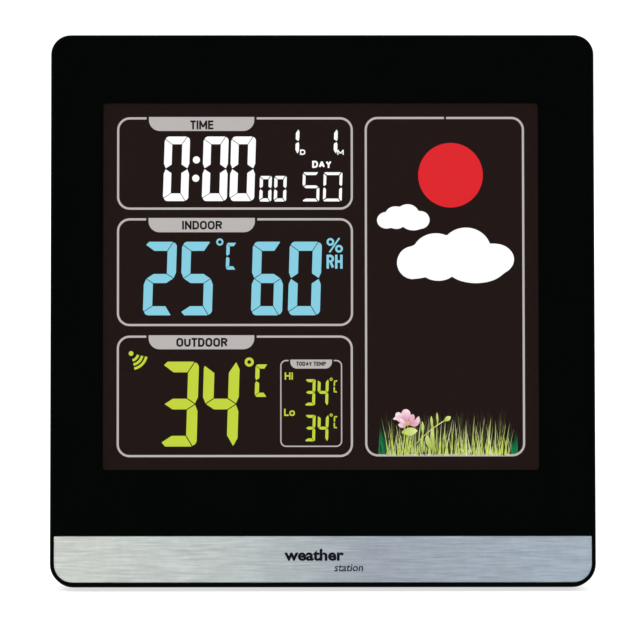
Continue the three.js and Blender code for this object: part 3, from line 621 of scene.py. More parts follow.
BOWL = curve_of((0, 1), (0.55, 0.76, 90, -90, 0.45, 0.24), (0, 0.52))
ROUND = curve_of((0.5, 0.7, 90, 0, 0.5, 0.3), (0.5, 0.3, 0, -90, 0.5, 0.3), (0.5, 0.3, -90, -180, 0.5, 0.3),
                 (0.5, 0.7, 180, 90, 0.5, 0.3))
GLYPHS = {
    "T": (0.85, [[(0, 1), (1, 1)], [(0.5, 1), (0.5, 0)]]), "I": (0.3, [[(0.5, 1), (0.5, 0)]]),
    "M": (1.3, [[(0, 0), (0, 1)], [(1, 0), (1, 1)], [(0.03, 0.97), (0.5, 0.2)], [(0.97, 0.97), (0.5, 0.2)]]),
    "E": (0.85, [[(0, 0), (0, 1)], [(0, 1), (1, 1)], [(0, 0.53), (0.9, 0.53)], [(0, 0), (1, 0)]]),
    "N": (1.0, [[(0, 0), (0, 1)], [(0.02, 0.98), (0.98, 0.02)], [(1, 0), (1, 1)]]),
    "D": (1.0, [[(0, 0), (0, 1)],
                curve_of((0, 1), (0.5, 0.6, 90, 0, 0.5, 0.4), (0.5, 0.4, 0, -90, 0.5, 0.4), (0, 0))]),
    "O": (1.05, [ROUND]), "R": (1.0, [[(0, 0), (0, 1)], BOWL, [(0.55, 0.5), (1, 0)]]),
    "P": (0.95, [[(0, 0), (0, 1)], BOWL]), "L": (0.8, [[(0, 1), (0, 0)], [(0, 0), (1, 0)]]),
    "U": (1.0, [curve_of((0, 1), (0.5, 0.32, 180, 360, 0.5, 0.32), (1, 1))]),
    "A": (1.05, [[(0, 0), (0.5, 1)], [(0.5, 1), (1, 0)], [(0.2, 0.34), (0.8, 0.34)]]),
    "Y": (1.0, [[(0, 1), (0.5, 0.42)], [(1, 1), (0.5, 0.42)], [(0.5, 0.42), (0.5, 0)]]),
    "H": (1.0, [[(0, 0), (0, 1)], [(1, 0), (1, 1)], [(0, 0.52), (1, 0.52)]]),
    "i": (0.3, [[(0.5, 0), (0.5, 0.62)], [(0.5, 0.93), (0.5, 1)]]), " ": (0.35, []),
    "o": (0.95, [[(x, z * 0.72) for x, z in ROUND]]),
}


TINY = 1e-6


def letters(text, box, t, front, back, apart=0.13):
    """Stroke letters that fill the box (left, bottom, right, top); t is the stroke's width."""
    left, bottom, right, top = box
    unit = (right - left) / (sum(GLYPHS[c][0] for c in text) + apart * (len(text) - 1))
    shapes, x0 = [], left
    for c in text:
        wide, paths = GLYPHS[c]
        for path in paths:
            line = [(x0 + t / 2 + x * (wide * unit - t), bottom + t / 2 + z * (top - bottom - t))
                    for x, z in path]
            closed = abs(path[0][0] - path[-1][0]) + abs(path[0][1] - path[-1][1]) < TINY
            if len(line) == 2:
                way = (Vector(line[1]) - Vector(line[0])).normalized() * (t / 2)
                if min(abs(way.x), abs(way.y)) < TINY:
                    line = [tuple(Vector(line[0]) - way), tuple(Vector(line[1]) + way)]
            shapes.append(ribbon(line[:-1] if closed else line, t, front, back, closed=closed))
        x0 += (wide + apart) * unit
    return shapes


print("letters drawn:", "".join(sorted(GLYPHS)).strip())

# %% [markdown]
# Each group of readings sits in a thin frame line with round corners. A tab hangs from the
# line with the group's name, and the line stops a little short of it on both sides.

# %% Frame lines and tabs
def frame_path(left, bottom, right, top, radius, gap_left, gap_right):
    """The middle of a frame line, from the right end of a gap in its top round to the left end."""
    turns = [(right - radius, top - radius, 0), (right - radius, bottom + radius, 270),
             (left + radius, bottom + radius, 180), (left + radius, top - radius, 90)]
    path = [(gap_right, top)]
    for x, z, start in turns:
        path += reversed(arc(x, z, radius, start, start + 90))
    return path + [(gap_left, top)]


def framed(outer, line, radius, gap):
    """A frame line as a ribbon; outer is its outer box, gap the open stretch of its top."""
    left, bottom, right, top = outer
    half = line / 2
    path = frame_path(left + half, bottom + half, right - half, top - half, radius - half, *gap)
    return ribbon(path, line, FRONT_OF_ART, BACK_OF_ART)


def tab(left, bottom, right, top, radius):
    """A tab with a straight top and round bottom corners."""
    outline = [(right, top), (left, top)] + arc(left + radius, bottom + radius, radius, 180, 270)
    outline += arc(right - radius, bottom + radius, radius, 270, 360)
    return plate(outline, FRONT_OF_ART, BACK_OF_ART)


LINE, LINE_RADIUS = 0.72, 4.3
FINE_LINE, FINE_RADIUS = 0.42, 2.0
TAB_RADIUS, FINE_TAB_RADIUS, TAB_CLEARANCE = 3.7, 2.2, 0.8
PANELS = [  # the outer box of each frame line and the box of its tab: time, indoor, outdoor
    ((-68.9, 125.9, 10.5, 157.1), (-58.2, 152.5, -22.7, 157.2)),
    ((-68.9, 86.7, 10.5, 123.0), (-58.3, 118.3, -22.5, 123.1)),
    ((-68.9, 42.7, 10.4, 83.5), (-58.2, 78.9, -22.7, 83.6)),
]
FORECAST, FORECAST_GAP = (14.5, 42.9, 68.2, 157.2), (41.25, 41.95)
HIGH_LOW, HIGH_LOW_GAP, HIGH_LOW_TAB = (-14.0, 46.1, 6.8, 75.3), (-11.2, 4.0), (-10.6, 72.4, 3.4, 75.4)
lines = []
for outer, tag in PANELS:
    lines.append(framed(outer, LINE, LINE_RADIUS, (tag[0] - TAB_CLEARANCE, tag[2] + TAB_CLEARANCE)))
    lines.append(tab(*tag, TAB_RADIUS))
lines.append(framed(FORECAST, LINE, LINE_RADIUS, FORECAST_GAP))
lines.append(framed(HIGH_LOW, FINE_LINE, FINE_RADIUS, HIGH_LOW_GAP))
lines.append(tab(*HIGH_LOW_TAB, FINE_TAB_RADIUS))
part("display_frames", art_mesh("display_frames", lines), lit_line)

TAB_WORDS = [
    ("TIME", (-44.2, 153.0, -36.5, 156.0), 0.62),
    ("INDOOR", (-47.0, 119.2, -33.5, 122.1), 0.62),
    ("OUTDOOR", (-48.9, 79.7, -31.7, 82.7), 0.66),
    ("TODAY TEMP", (-8.6, 73.3, 1.4, 74.7), 0.32),
]
words = []
for text, box, stroke in TAB_WORDS:
    words += letters(text, box, stroke, FRONT_OF_ART - 0.06, FRONT_OF_ART + 0.02)
part("tab_lettering", art_mesh("tab_lettering", words), tab_ink)
print("frames", len(lines), "tab words", len(words))

# %% [markdown]
# A number is made of up to seven segments with mitred ends. One function gives the outlines
# of the seven segments in a cell, leaning slightly to the right; a table says which of them
# each sign lights. Every outline is pulled in a little, which leaves the hairlines between
# neighbouring segments.

# %% Number segments
def pulled_in(ring, gap):
    """A convex anticlockwise outline with each side moved inwards by gap."""
    sides = []
    for a, b in zip(ring, ring[1:] + ring[:1]):
        way = Vector((b[0] - a[0], b[1] - a[1])).normalized()
        sides.append((Vector(a) + gap * Vector((-way.y, way.x)), way))
    result = []
    for (p, u), (q, v) in zip(sides[-1:] + sides[:-1], sides):
        cross = u.x * v.y - u.y * v.x
        if abs(cross) > TINY:
            t = ((q.x - p.x) * v.y - (q.y - p.y) * v.x) / cross
            result.append((p.x + u.x * t, p.y + u.y * t))
        else:
            result.append((q.x, q.y))
    return result


LIT_SEGMENTS = {"0": "abcdef", "1": "bc", "2": "abged", "3": "abgcd", "4": "fgbc", "5": "afgcd",
                "6": "afgedc", "C": "afed"}
LEAN_OF_DIGITS = 0.03


def number(sign, cell, s, gap=0.05):
    """The lit segments of one sign in a cell (left, bottom, right, top); s is a segment's width."""
    left, bottom, right, top = cell
    right -= LEAN_OF_DIGITS * (top - bottom)
    middle = (bottom + top) / 2
    tl, tr = (left + 0.1 * s, top - 0.35 * s), (right - 0.4 * s, top - 0.05 * s)
    bl, br = (left + 0.1 * s, bottom + 0.4 * s), (right - 0.4 * s, bottom + 0.05 * s)
    ml, mr = (left + 0.25 * s, middle), (right - 0.25 * s, middle)
    itl, itr = (left + s, top - s), (right - s, top - s)
    ibl, ibr = (left + s, bottom + s), (right - s, bottom + s)
    up_l, up_r = (left + s, middle + s / 2), (right - s, middle + s / 2)
    dn_l, dn_r = (left + s, middle - s / 2), (right - s, middle - s / 2)
    outlines = {
        "a": [tl, itl, itr, tr, (right - 0.55 * s, top), (left + 0.5 * s, top),
              (left + 0.25 * s, top - 0.12 * s)],
        "b": [tr, itr, up_r, mr, (right, middle + 0.6 * s), (right, top - 0.45 * s),
              (right - 0.14 * s, top - 0.18 * s)],
        "c": [mr, dn_r, ibr, br, (right - 0.15 * s, bottom + 0.19 * s), (right, bottom + 0.45 * s),
              (right, middle - 0.6 * s)],
        "d": [bl, (left + 0.25 * s, bottom + 0.12 * s), (left + 0.5 * s, bottom),
              (right - 0.55 * s, bottom), br, ibr, ibl],
        "e": [ml, (left, middle - 0.6 * s), (left, bottom + 0.6 * s), bl, ibl, dn_l],
        "f": [tl, (left, top - 0.6 * s), (left, middle + 0.6 * s), ml, up_l, itl],
        "g": [ml, dn_l, dn_r, mr, up_r, up_l],
    }
    lit_keys = LIT_SEGMENTS[sign]
    # Where a neighbour is dark, a segment's free end runs out to the corner of the cell.
    if "f" not in lit_keys:
        outlines["a"] = [tl, itl, itr, tr, (right - 0.55 * s, top), (left + 0.45 * s, top)]
    if "e" not in lit_keys:
        outlines["d"] = [bl, (left + 0.45 * s, bottom), (right - 0.55 * s, bottom), br, ibr, ibl]
    if "a" not in lit_keys:
        outlines["b"] = [(right - 0.35 * s, top), itr, up_r, mr, (right, middle + 0.6 * s),
                         (right, top - 0.7 * s)]
    if "d" not in lit_keys:
        outlines["c"] = [mr, dn_r, ibr, (right - 0.4 * s, bottom), (right, bottom + 0.75 * s),
                         (right, middle - 0.6 * s)]
    shapes = []
    for key in lit_keys:
        leaning = [(x + LEAN_OF_DIGITS * (z - bottom), z) for x, z in pulled_in(outlines[key], gap)]
        shapes.append(plate(leaning, FRONT_OF_ART, BACK_OF_ART))
    return shapes


# %% [markdown]
# The rest of the signs are small: discs for the colon, flat rings for the degrees, arcs for
# the radio sign and short words. Each colour of light is one part, with its numbers in a table
# of sign, cell and segment width.

# %% Time, date and weekday
def disc(x, z, radius, steps=32):
    """A flat round spot."""
    return plate(arc(x, z, radius, 0, 360 * (1 - 1 / steps), steps - 1), FRONT_OF_ART, BACK_OF_ART)


def hoop(x, z, radius, hole, steps=32):
    """A small flat ring, such as a degree sign."""
    middle = arc(x, z, (radius + hole) / 2, 360, 360 / steps, steps - 1)
    return ribbon(middle, radius - hole, FRONT_OF_ART, BACK_OF_ART, closed=True)


def label(text, box, stroke):
    """A lit word that fills its box."""
    return letters(text, box, stroke, FRONT_OF_ART, BACK_OF_ART)


white = [disc(-42.2, 142.7, 1.2), disc(-42.4, 136.5, 1.2), *label("DAY", (-3.2, 140.0, 3.3, 142.4), 0.6),
         *label("D", (-7.3, 144.4, -5.5, 146.2), 0.42), *label("M", (5.3, 144.4, 7.4, 146.1), 0.34)]
for sign, cell, width, gap in [
    ("0", (-53.6, 128.7, -44.2, 150.7), 2.8, 0.11), ("0", (-40.5, 128.7, -31.2, 150.7), 2.8, 0.11),
    ("0", (-31.2, 128.7, -22.0, 150.7), 2.8, 0.11), ("0", (-21.2, 128.5, -16.6, 137.4), 1.35, 0.14),
    ("0", (-16.3, 128.5, -11.6, 137.4), 1.35, 0.14), ("5", (-6.8, 128.5, -0.4, 138.7), 1.3, 0.18),
    ("0", (0.2, 128.5, 7.2, 138.7), 1.3, 0.18), ("1", (-12.9, 144.6, -7.3, 153.2), 1.45, 0.12),
    ("1", (0.0, 144.6, 5.6, 153.2), 1.45, 0.12),
]:
    white += number(sign, cell, width, gap)
part("time_numbers", art_mesh("time_numbers", white), lit_white)
print("shapes: white", len(white))

# %% Indoor and outdoor readings
blue = [hoop(-34.3, 115.0, 1.2, 0.6), *label("RH", (1.6, 106.0, 7.0, 110.7), 0.82),
        hoop(2.9, 115.0, 1.3, 0.6), hoop(5.8, 112.7, 1.3, 0.6),
        ribbon([(2.6, 111.5), (5.9, 116.3)], 0.55, FRONT_OF_ART, BACK_OF_ART)]
for sign, cell, width in [
    ("2", (-60.3, 90.2, -48.6, 115.2), 3.3), ("5", (-47.8, 90.2, -36.1, 115.2), 3.3),
    ("6", (-24.0, 90.2, -12.5, 115.2), 3.3), ("0", (-11.6, 90.2, 0.2, 115.2), 3.3),
    ("C", (-32.4, 105.6, -28.2, 114.8), 1.3),
]:
    blue += number(sign, cell, width, 0.12 if width > 2 else 0.09)
part("indoor_numbers", art_mesh("indoor_numbers", blue), lit_blue)

green = [hoop(-24.4, 74.6, 1.54, 0.64), disc(-64.1, 77.5, 0.8),
         *label("Hi", (-12.5, 68.7, -9.7, 71.1), 0.48), *label("Lo", (-12.7, 56.5, -9.1, 58.9), 0.48)]
for radius in (2.35, 3.8, 5.2):
    green.append(ribbon(arc(-64.1, 77.5, radius, -12, -78, 12), 0.84, FRONT_OF_ART, BACK_OF_ART))
for sign, cell, width in [
    ("3", (-54.5, 46.1, -41.1, 74.9), 3.9), ("4", (-40.6, 46.1, -27.4, 74.9), 3.9),
    ("C", (-22.7, 62.8, -17.6, 73.9), 1.6),
]:
    green += number(sign, cell, width, 0.16 if width > 3 else 0.1)
for drop in (0, 12.0):  # the day's highest reading, and its lowest one 12 mm below it
    green.append(hoop(3.1, 68.8 - drop, 0.52, 0.24, 16))
    green += number("3", (-5.9, 59.9 - drop, -2.0, 68.9 - drop), 1.14, 0.08)
    green += number("4", (-1.7, 59.9 - drop, 2.4, 68.9 - drop), 1.14, 0.08)
    green += number("C", (3.8, 64.3 - drop, 5.6, 68.5 - drop), 0.6, 0.07)
part("outdoor_numbers", art_mesh("outdoor_numbers", green), lit_green)
print("shapes: blue", len(blue), "green", len(green))

# %% [markdown]
# The forecast picture has a red sun and two clouds. A cloud is drawn as overlapping ovals;
# their joint outline is found by looking outwards from the middle in all directions and
# keeping the farthest oval edge.

# %% Sun and clouds
def cloud(centre, ovals, steps=110):
    """The joint outline of ovals (x, z, half width, half height), seen from a point inside."""
    cx, cz = centre
    outline = []
    for i in range(steps):
        turn = 2 * math.pi * i / steps
        dx, dz = math.cos(turn), math.sin(turn)
        far = 0.5
        for x, z, rx, rz in ovals:
            a = (dx / rx) ** 2 + (dz / rz) ** 2
            b = 2 * ((cx - x) * dx / rx ** 2 + (cz - z) * dz / rz ** 2)
            c = ((cx - x) / rx) ** 2 + ((cz - z) / rz) ** 2 - 1
            if b * b - 4 * a * c > 0:
                far = max(far, (-b + math.sqrt(b * b - 4 * a * c)) / (2 * a))
        outline.append((cx + far * dx, cz + far * dz))
    return plate(outline, FRONT_OF_ART, BACK_OF_ART)


small_cloud = cloud((27.5, 122.6), [
    (21.8, 122.3, 3.2, 2.8), (24.9, 124.2, 3.5, 2.8), (28.9, 124.2, 3.9, 3.5),
    (33.2, 122.4, 3.1, 3.0), (30.9, 121.5, 4.1, 2.6), (25.1, 121.2, 2.8, 1.8)])
big_cloud = cloud((44.5, 108.5), [
    (30.9, 108.0, 5.6, 5.6), (38.4, 110.5, 8.1, 7.4), (48.5, 111.9, 8.5, 7.9),
    (58.1, 109.1, 6.6, 5.3), (51.9, 106.5, 10.0, 5.4), (39.2, 105.9, 6.0, 4.0)])
part("clouds", art_mesh("clouds", [small_cloud, big_cloud]), lit_white)
part("sun", art_mesh("sun", [disc(43.4, 137.5, 10.9, 72)]), lit_red)
print("cloud outlines:", len(small_cloud[0]) // 2, "and", len(big_cloud[0]) // 2, "points")

# %% [markdown]
# Grass is what Geometry Nodes do best: one blade, many copies, each with its own height,
# width, lean and tone. The tree walks along a ground line, shifts each point a little, places
# one of three blades on it and stores a random tone for the finish to read. It ends in
# Realize Instances and Set Material, so the result is a plain mesh.

# %% A tree maker
def named_tree(name, entries):
    """A Geometry Nodes tree with named inputs; entries are (name, socket type, value)."""
    tree = bpy.data.node_groups.new(name, "GeometryNodeTree")
    tree.interface.new_socket("Geometry", in_out="OUTPUT", socket_type="NodeSocketGeometry")
    tree.interface.new_socket("Geometry", in_out="INPUT", socket_type="NodeSocketGeometry")
    for entry, kind, value in entries:
        socket = tree.interface.new_socket(entry, in_out="INPUT", socket_type=kind)
        if value is not None:
            socket.default_value = value
    return tree, tree.nodes.new("NodeGroupInput"), tree.nodes.new("NodeGroupOutput")


def node(tree, kind, **settings):
    """A new node of a tree, with the settings that have no socket."""
    made = tree.nodes.new(kind)
    for key, value in settings.items():
        setattr(made, key, value)
    return made


def grown(name, tree, base, values):
    """The plain mesh that a tree makes on a base mesh with the given input values."""
    carrier = bpy.data.objects.new(name + "_carrier", base)
    scene.collection.objects.link(carrier)
    modifier = carrier.modifiers.new(name, "NODES")
    modifier.node_group = tree
    for item in tree.interface.items_tree:
        if item.item_type == "SOCKET" and item.in_out == "INPUT" and item.name in values:
            modifier[item.identifier] = values[item.name]
    done = bpy.data.meshes.new_from_object(carrier.evaluated_get(bpy.context.evaluated_depsgraph_get()))
    bpy.data.objects.remove(carrier)
    print(name, "faces", len(done.polygons))
    return done


def close_tree(tree, last, output):
    """Ends a tree: its copies become real faces and get the finish that its input names."""
    real = node(tree, "GeometryNodeRealizeInstances")
    paint = node(tree, "GeometryNodeSetMaterial")
    joined(tree, last, output, real, "Geometry")
    joined(tree, real, "Geometry", paint, "Geometry")
    joined(tree, entry, "Finish", paint, "Material")
    joined(tree, paint, "Geometry", out, "Geometry")
    print(tree.name, "nodes", len(tree.nodes))


def carrier_of(name, shape):
    """A loose object that only serves as the original of a tree's copies."""
    mesh = bpy.data.meshes.new(name)
    mesh.from_pydata(shape[0], [], shape[1])
    if len(shape) > 2:
        mesh.attributes.new("along", "FLOAT", "POINT").data.foreach_set("value", shape[2])
    made = bpy.data.objects.new(name, mesh)
    scene.collection.objects.link(made)
    return made


# %% [markdown]
# A printed plant is never one green: it fades from its root to its tip, and no two are alike.
# The mesh carries both as numbers on its points, and Attribute nodes read them in the finish.
# That costs no image and stays with the plant wherever it stands.

# %% Finishes for plants
def plant(name, root, tip, second_root, second_tip, patch=1.5, glow=(0, 0, 0)):
    """A printed plant colour from root to tip, mixed between two plants by the stored tone."""
    made = finish(name, root, tip, rough=0.7, patch=patch, grain=0.3, depth=0.001, specular=0.1, glow=glow)
    tree = made.node_tree
    shader = tree.nodes["Principled BSDF"]
    height = node(tree, "ShaderNodeAttribute", attribute_name="along")
    tone = node(tree, "ShaderNodeAttribute", attribute_name="tone")
    pairs = []
    for low, high in ((root, tip), (second_root, second_tip)):
        rise = node(tree, "ShaderNodeMix", data_type="RGBA")
        rise.inputs[COLOUR_A].default_value, rise.inputs[COLOUR_B].default_value = (*low, 1), (*high, 1)
        joined(tree, height, "Fac", rise, "Factor")
        pairs.append(rise)
    both = node(tree, "ShaderNodeMix", data_type="RGBA")
    joined(tree, tone, "Fac", both, "Factor")
    joined(tree, pairs[0], COLOUR_OUT, both, COLOUR_A)
    joined(tree, pairs[1], COLOUR_OUT, both, COLOUR_B)
    speckle = node(tree, "ShaderNodeMix", data_type="RGBA", blend_type="MULTIPLY")
    speckle.inputs["Factor"].default_value = 0.35
    patches = next(n for n in tree.nodes if n.type == "TEX_NOISE")
    joined(tree, both, COLOUR_OUT, speckle, COLOUR_A)
    joined(tree, patches, "Fac", speckle, COLOUR_B)
    joined(tree, speckle, COLOUR_OUT, shader, "Base Color")
    return made


def leaf(path, widths, front, back):
    """A ribbon whose width changes along its path, with its place along the path stored."""
    points, faces = ribbon(path, 1.0, front, back)
    n = len(path)
    for i, (x, z) in enumerate(path):
        for side in (0, 1):
            for layer in (0, 1):
                k = layer * 2 * n + side * n + i
                px, py, pz = points[k]
                points[k] = (x + (px - x) * widths[i], py, z + (pz - z) * widths[i])
    return points, faces, [i / (n - 1) for i in range(n)] * 4


# %% [markdown]
# The grass tree starts with a line on the ground, cut into as many points as there are blades.
# Each point moves a little, so that no even row shows. The blades are three originals with
# different bends, brought in by Object Info nodes.

# %% Grass tree: ground and blades
grass, entry, out = named_tree("grass_bed", [
    ("Blades", "NodeSocketInt", 100), ("Shortest", "NodeSocketFloat", 4.0),
    ("Tallest", "NodeSocketFloat", 12.0), ("Narrowest", "NodeSocketFloat", 0.3),
    ("Widest", "NodeSocketFloat", 0.8), ("Lean", "NodeSocketFloat", 0.25),
    ("Seed", "NodeSocketInt", 3), ("Finish", "NodeSocketMaterial", None),
])
ground = node(grass, "GeometryNodeMeshToCurve")
spots = node(grass, "GeometryNodeResampleCurve", mode="COUNT")
joined(grass, entry, "Geometry", ground, "Mesh")
joined(grass, ground, "Curve", spots, "Curve")
joined(grass, entry, "Blades", spots, "Count")
shift = node(grass, "FunctionNodeRandomValue", data_type="FLOAT_VECTOR")
shift.inputs[0].default_value, shift.inputs[1].default_value = (-0.35, -0.1, -0.1), (0.35, 0.1, 0.1)
moved = node(grass, "GeometryNodeSetPosition")
joined(grass, spots, "Curve", moved, "Geometry")
joined(grass, shift, 0, moved, "Offset")
kinds = node(grass, "GeometryNodeJoinGeometry")
BENDS, BLADE_STEPS, BLADE_POINT, HALF_BLADE = (-0.16, 0.03, 0.2), 6, 0.03, 0.02
rises = [i / BLADE_STEPS for i in range(BLADE_STEPS + 1)]
originals = []
for bend in BENDS:
    path = [(bend * t ** 2, t) for t in rises]
    widths = [max(BLADE_POINT, (1 - t) ** 0.7) for t in rises]
    originals.append(carrier_of("blade_original", leaf(path, widths, -HALF_BLADE, HALF_BLADE)))
    blade = node(grass, "GeometryNodeObjectInfo")
    blade.inputs["Object"].default_value = originals[-1]
    single = node(grass, "GeometryNodeGeometryToInstance")
    joined(grass, blade, "Geometry", single, "Geometry")
    joined(grass, single, 0, kinds, 0)
print("blade originals:", len(originals))

# %% [markdown]
# Every point gets one of the blades, with its own height, width and lean. Each of these comes
# from a Random Value node, and all their seeds follow from the one Seed input. So a bed looks
# the same each time the script runs, and another seed gives another bed.

# %% Grass tree: chance
FLOAT_MIN, FLOAT_MAX, FLOAT_OUT = 2, 3, 1  # a Random Value node's sockets for numbers
WHOLE_MIN, WHOLE_MAX, WHOLE_OUT = 4, 5, 2  # and for whole numbers
which = node(grass, "FunctionNodeRandomValue", data_type="INT")
which.inputs[WHOLE_MIN].default_value, which.inputs[WHOLE_MAX].default_value = 0, len(BENDS) - 1
plant_it = node(grass, "GeometryNodeInstanceOnPoints")
plant_it.inputs["Pick Instance"].default_value = True
joined(grass, moved, 0, plant_it, "Points")
joined(grass, kinds, 0, plant_it, "Instance")
joined(grass, which, WHOLE_OUT, plant_it, "Instance Index")
tall = node(grass, "FunctionNodeRandomValue", data_type="FLOAT")
wide = node(grass, "FunctionNodeRandomValue", data_type="FLOAT")
size = node(grass, "ShaderNodeCombineXYZ")
size.inputs["Y"].default_value = 1
for lot, low, high, axis in ((tall, "Shortest", "Tallest", "Z"), (wide, "Narrowest", "Widest", "X")):
    joined(grass, entry, low, lot, FLOAT_MIN)
    joined(grass, entry, high, lot, FLOAT_MAX)
    joined(grass, lot, FLOAT_OUT, size, axis)
joined(grass, size, "Vector", plant_it, "Scale")
opposite = node(grass, "ShaderNodeMath", operation="MULTIPLY")
opposite.inputs[1].default_value = -1
joined(grass, entry, "Lean", opposite, 0)
tilt = node(grass, "FunctionNodeRandomValue", data_type="FLOAT")
joined(grass, opposite, 0, tilt, FLOAT_MIN)
joined(grass, entry, "Lean", tilt, FLOAT_MAX)
turn = node(grass, "ShaderNodeCombineXYZ")
joined(grass, tilt, FLOAT_OUT, turn, "Y")
joined(grass, turn, "Vector", plant_it, "Rotation")
tone = node(grass, "FunctionNodeRandomValue", data_type="FLOAT")
keep = node(grass, "GeometryNodeStoreNamedAttribute", domain="INSTANCE")
keep.inputs["Name"].default_value = "tone"
joined(grass, plant_it, "Instances", keep, "Geometry")
joined(grass, tone, FLOAT_OUT, keep, "Value")
SEED_STEP = 17
for place, lot in enumerate((shift, which, tall, wide, tilt, tone)):
    own = node(grass, "ShaderNodeMath", operation="ADD")
    own.inputs[1].default_value = place * SEED_STEP
    joined(grass, entry, "Seed", own, 0)
    joined(grass, own, 0, lot, "Seed")
close_tree(grass, keep, "Geometry")

# %% [markdown]
# A meadow needs several beds one behind the other: tall olive stalks at the back, bright
# blades before them, pale ones in front and low tufts along the ground. Two small dark beds
# stand at the sides. One tree makes them all from different input values.

# %% Grass beds
bright_grass = plant("bright_grass", colour_of(222, 246, 84), colour_of(130, 140, 70),
                     colour_of(158, 186, 56), colour_of(222, 228, 150))
olive_grass = plant("olive_grass", colour_of(70, 84, 26), colour_of(58, 48, 32), colour_of(34, 40, 18),
                    colour_of(84, 80, 50))
pale_grass = plant("pale_grass", colour_of(246, 250, 200), colour_of(206, 212, 168),
                   colour_of(222, 236, 150), colour_of(150, 158, 112))
dark_grass = plant("dark_grass", colour_of(8, 158, 88), colour_of(18, 30, 24), colour_of(20, 100, 58),
                   colour_of(22, 34, 26))


GROUND = 43.2
DEEP = BACK_OF_ART - 0.14


def bed(name, left, right, depth, material, **values):
    """A bed of grass between two places on the ground line, at its own depth in the picture."""
    line = bpy.data.meshes.new(name + "_line")
    line.from_pydata([(left, depth, GROUND), (right, depth, GROUND)], [(0, 1)], [])
    mesh = grown(name, grass, line, {**values, "Finish": material})
    mesh.transform(CASE @ ON_GLASS)
    part(name, mesh, material)


bed("grass_shade_left", 19.8, 22.8, DEEP, dark_grass, Blades=14, Shortest=3.0, Tallest=11.0,
    Narrowest=0.7, Widest=1.5, Lean=0.12, Seed=5)
bed("grass_shade_right", 63.0, 65.2, DEEP, dark_grass, Blades=7, Shortest=4.0, Tallest=9.5,
    Narrowest=0.6, Widest=1.2, Lean=0.1, Seed=9)
bed("grass_olive", 21.6, 63.0, DEEP, olive_grass, Blades=130, Shortest=8.0, Tallest=16.0,
    Narrowest=0.24, Widest=0.55, Lean=0.22, Seed=3)
bed("grass_bright", 21.9, 63.0, DEEP - 0.06, bright_grass, Blades=104, Shortest=3.5, Tallest=13.0,
    Narrowest=0.2, Widest=0.56, Lean=0.2, Seed=21)
bed("grass_low_left", 21.6, 46.0, DEEP - 0.03, bright_grass, Blades=12, Shortest=1.5, Tallest=4.0,
    Narrowest=0.5, Widest=1.0, Lean=0.2, Seed=12)
bed("grass_low_right", 46.0, 63.4, DEEP - 0.03, bright_grass, Blades=24, Shortest=1.8, Tallest=5.0,
    Narrowest=0.5, Widest=1.1, Lean=0.2, Seed=13)
bed("grass_pale", 22.4, 63.0, DEEP - 0.1, pale_grass, Blades=58, Shortest=5.0, Tallest=13.5,
    Narrowest=0.16, Widest=0.36, Lean=0.24, Seed=33)
for original in originals:
    bpy.data.objects.remove(original)

# %% [markdown]
# The flower and the larger leaves are few, so each is drawn one by one as a leaf shape: a short
# path with a width at each of its points. The finish fades from the root of a petal to its tip.

# %% Petals
POINTED = (0.22, 0.5, 0.74, 0.92, 1.0, 0.98, 0.84, 0.56, 0.12)
BLUNT = (0.3, 0.56, 0.78, 0.94, 1.04, 1.06, 1.0, 0.78, 0.34)


def petal(root, tip, width, sway=0.0, layer=0, tone=0.5, blunt=False):
    """A petal or leaf: a path from root to tip, widest past its middle."""
    path = []
    for i in range(len(POINTED)):
        t = i / (len(POINTED) - 1)
        across = sway * math.sin(math.pi * t)
        dx, dz = tip[0] - root[0], tip[1] - root[1]
        path.append((root[0] + dx * t - dz * across, root[1] + dz * t + dx * across))
    widths = [width * w for w in (BLUNT if blunt else POINTED)]
    depth = FRONT_OF_ART - 0.05 - 0.03 * layer
    return (*leaf(path, widths, depth, depth + 0.04), tone)


pink = plant("petal_pink", colour_of(200, 104, 140), colour_of(244, 190, 208), colour_of(232, 176, 196),
             colour_of(255, 246, 248), glow=(0.02, 0.012, 0.014))
leaf_green = plant("leaf_green", colour_of(178, 200, 84), colour_of(230, 236, 150), colour_of(120, 150, 50),
                   colour_of(206, 220, 110))
petals = [
    petal((28.4, 54.2), (25.2, 57.6), 2.5, 0.1, 0, 0.85, True),
    petal((28.6, 54.4), (28.0, 58.7), 2.9, 0.0, 1, 0.6, True),
    petal((28.9, 54.2), (30.6, 57.0), 2.1, -0.08, 2, 0.1),
    petal((28.5, 54.2), (23.9, 55.4), 1.8, -0.2, 3, 0.6),
    petal((28.8, 53.9), (32.5, 56.3), 2.0, -0.3, 4, 0.3),
    petal((28.6, 53.9), (25.6, 53.5), 1.9, 0.1, 5, 0.45),
    petal((28.4, 53.9), (27.3, 56.8), 1.5, 0.16, 6, 0.0),
    petal((28.8, 53.8), (30.3, 55.8), 1.5, -0.1, 7, 0.0),
    petal((28.4, 54.0), (26.2, 55.6), 1.1, 0.1, 8, 0.95),
]
part("flower_petals", art_mesh("flower_petals", petals), pink)
print("petals:", len(petals))

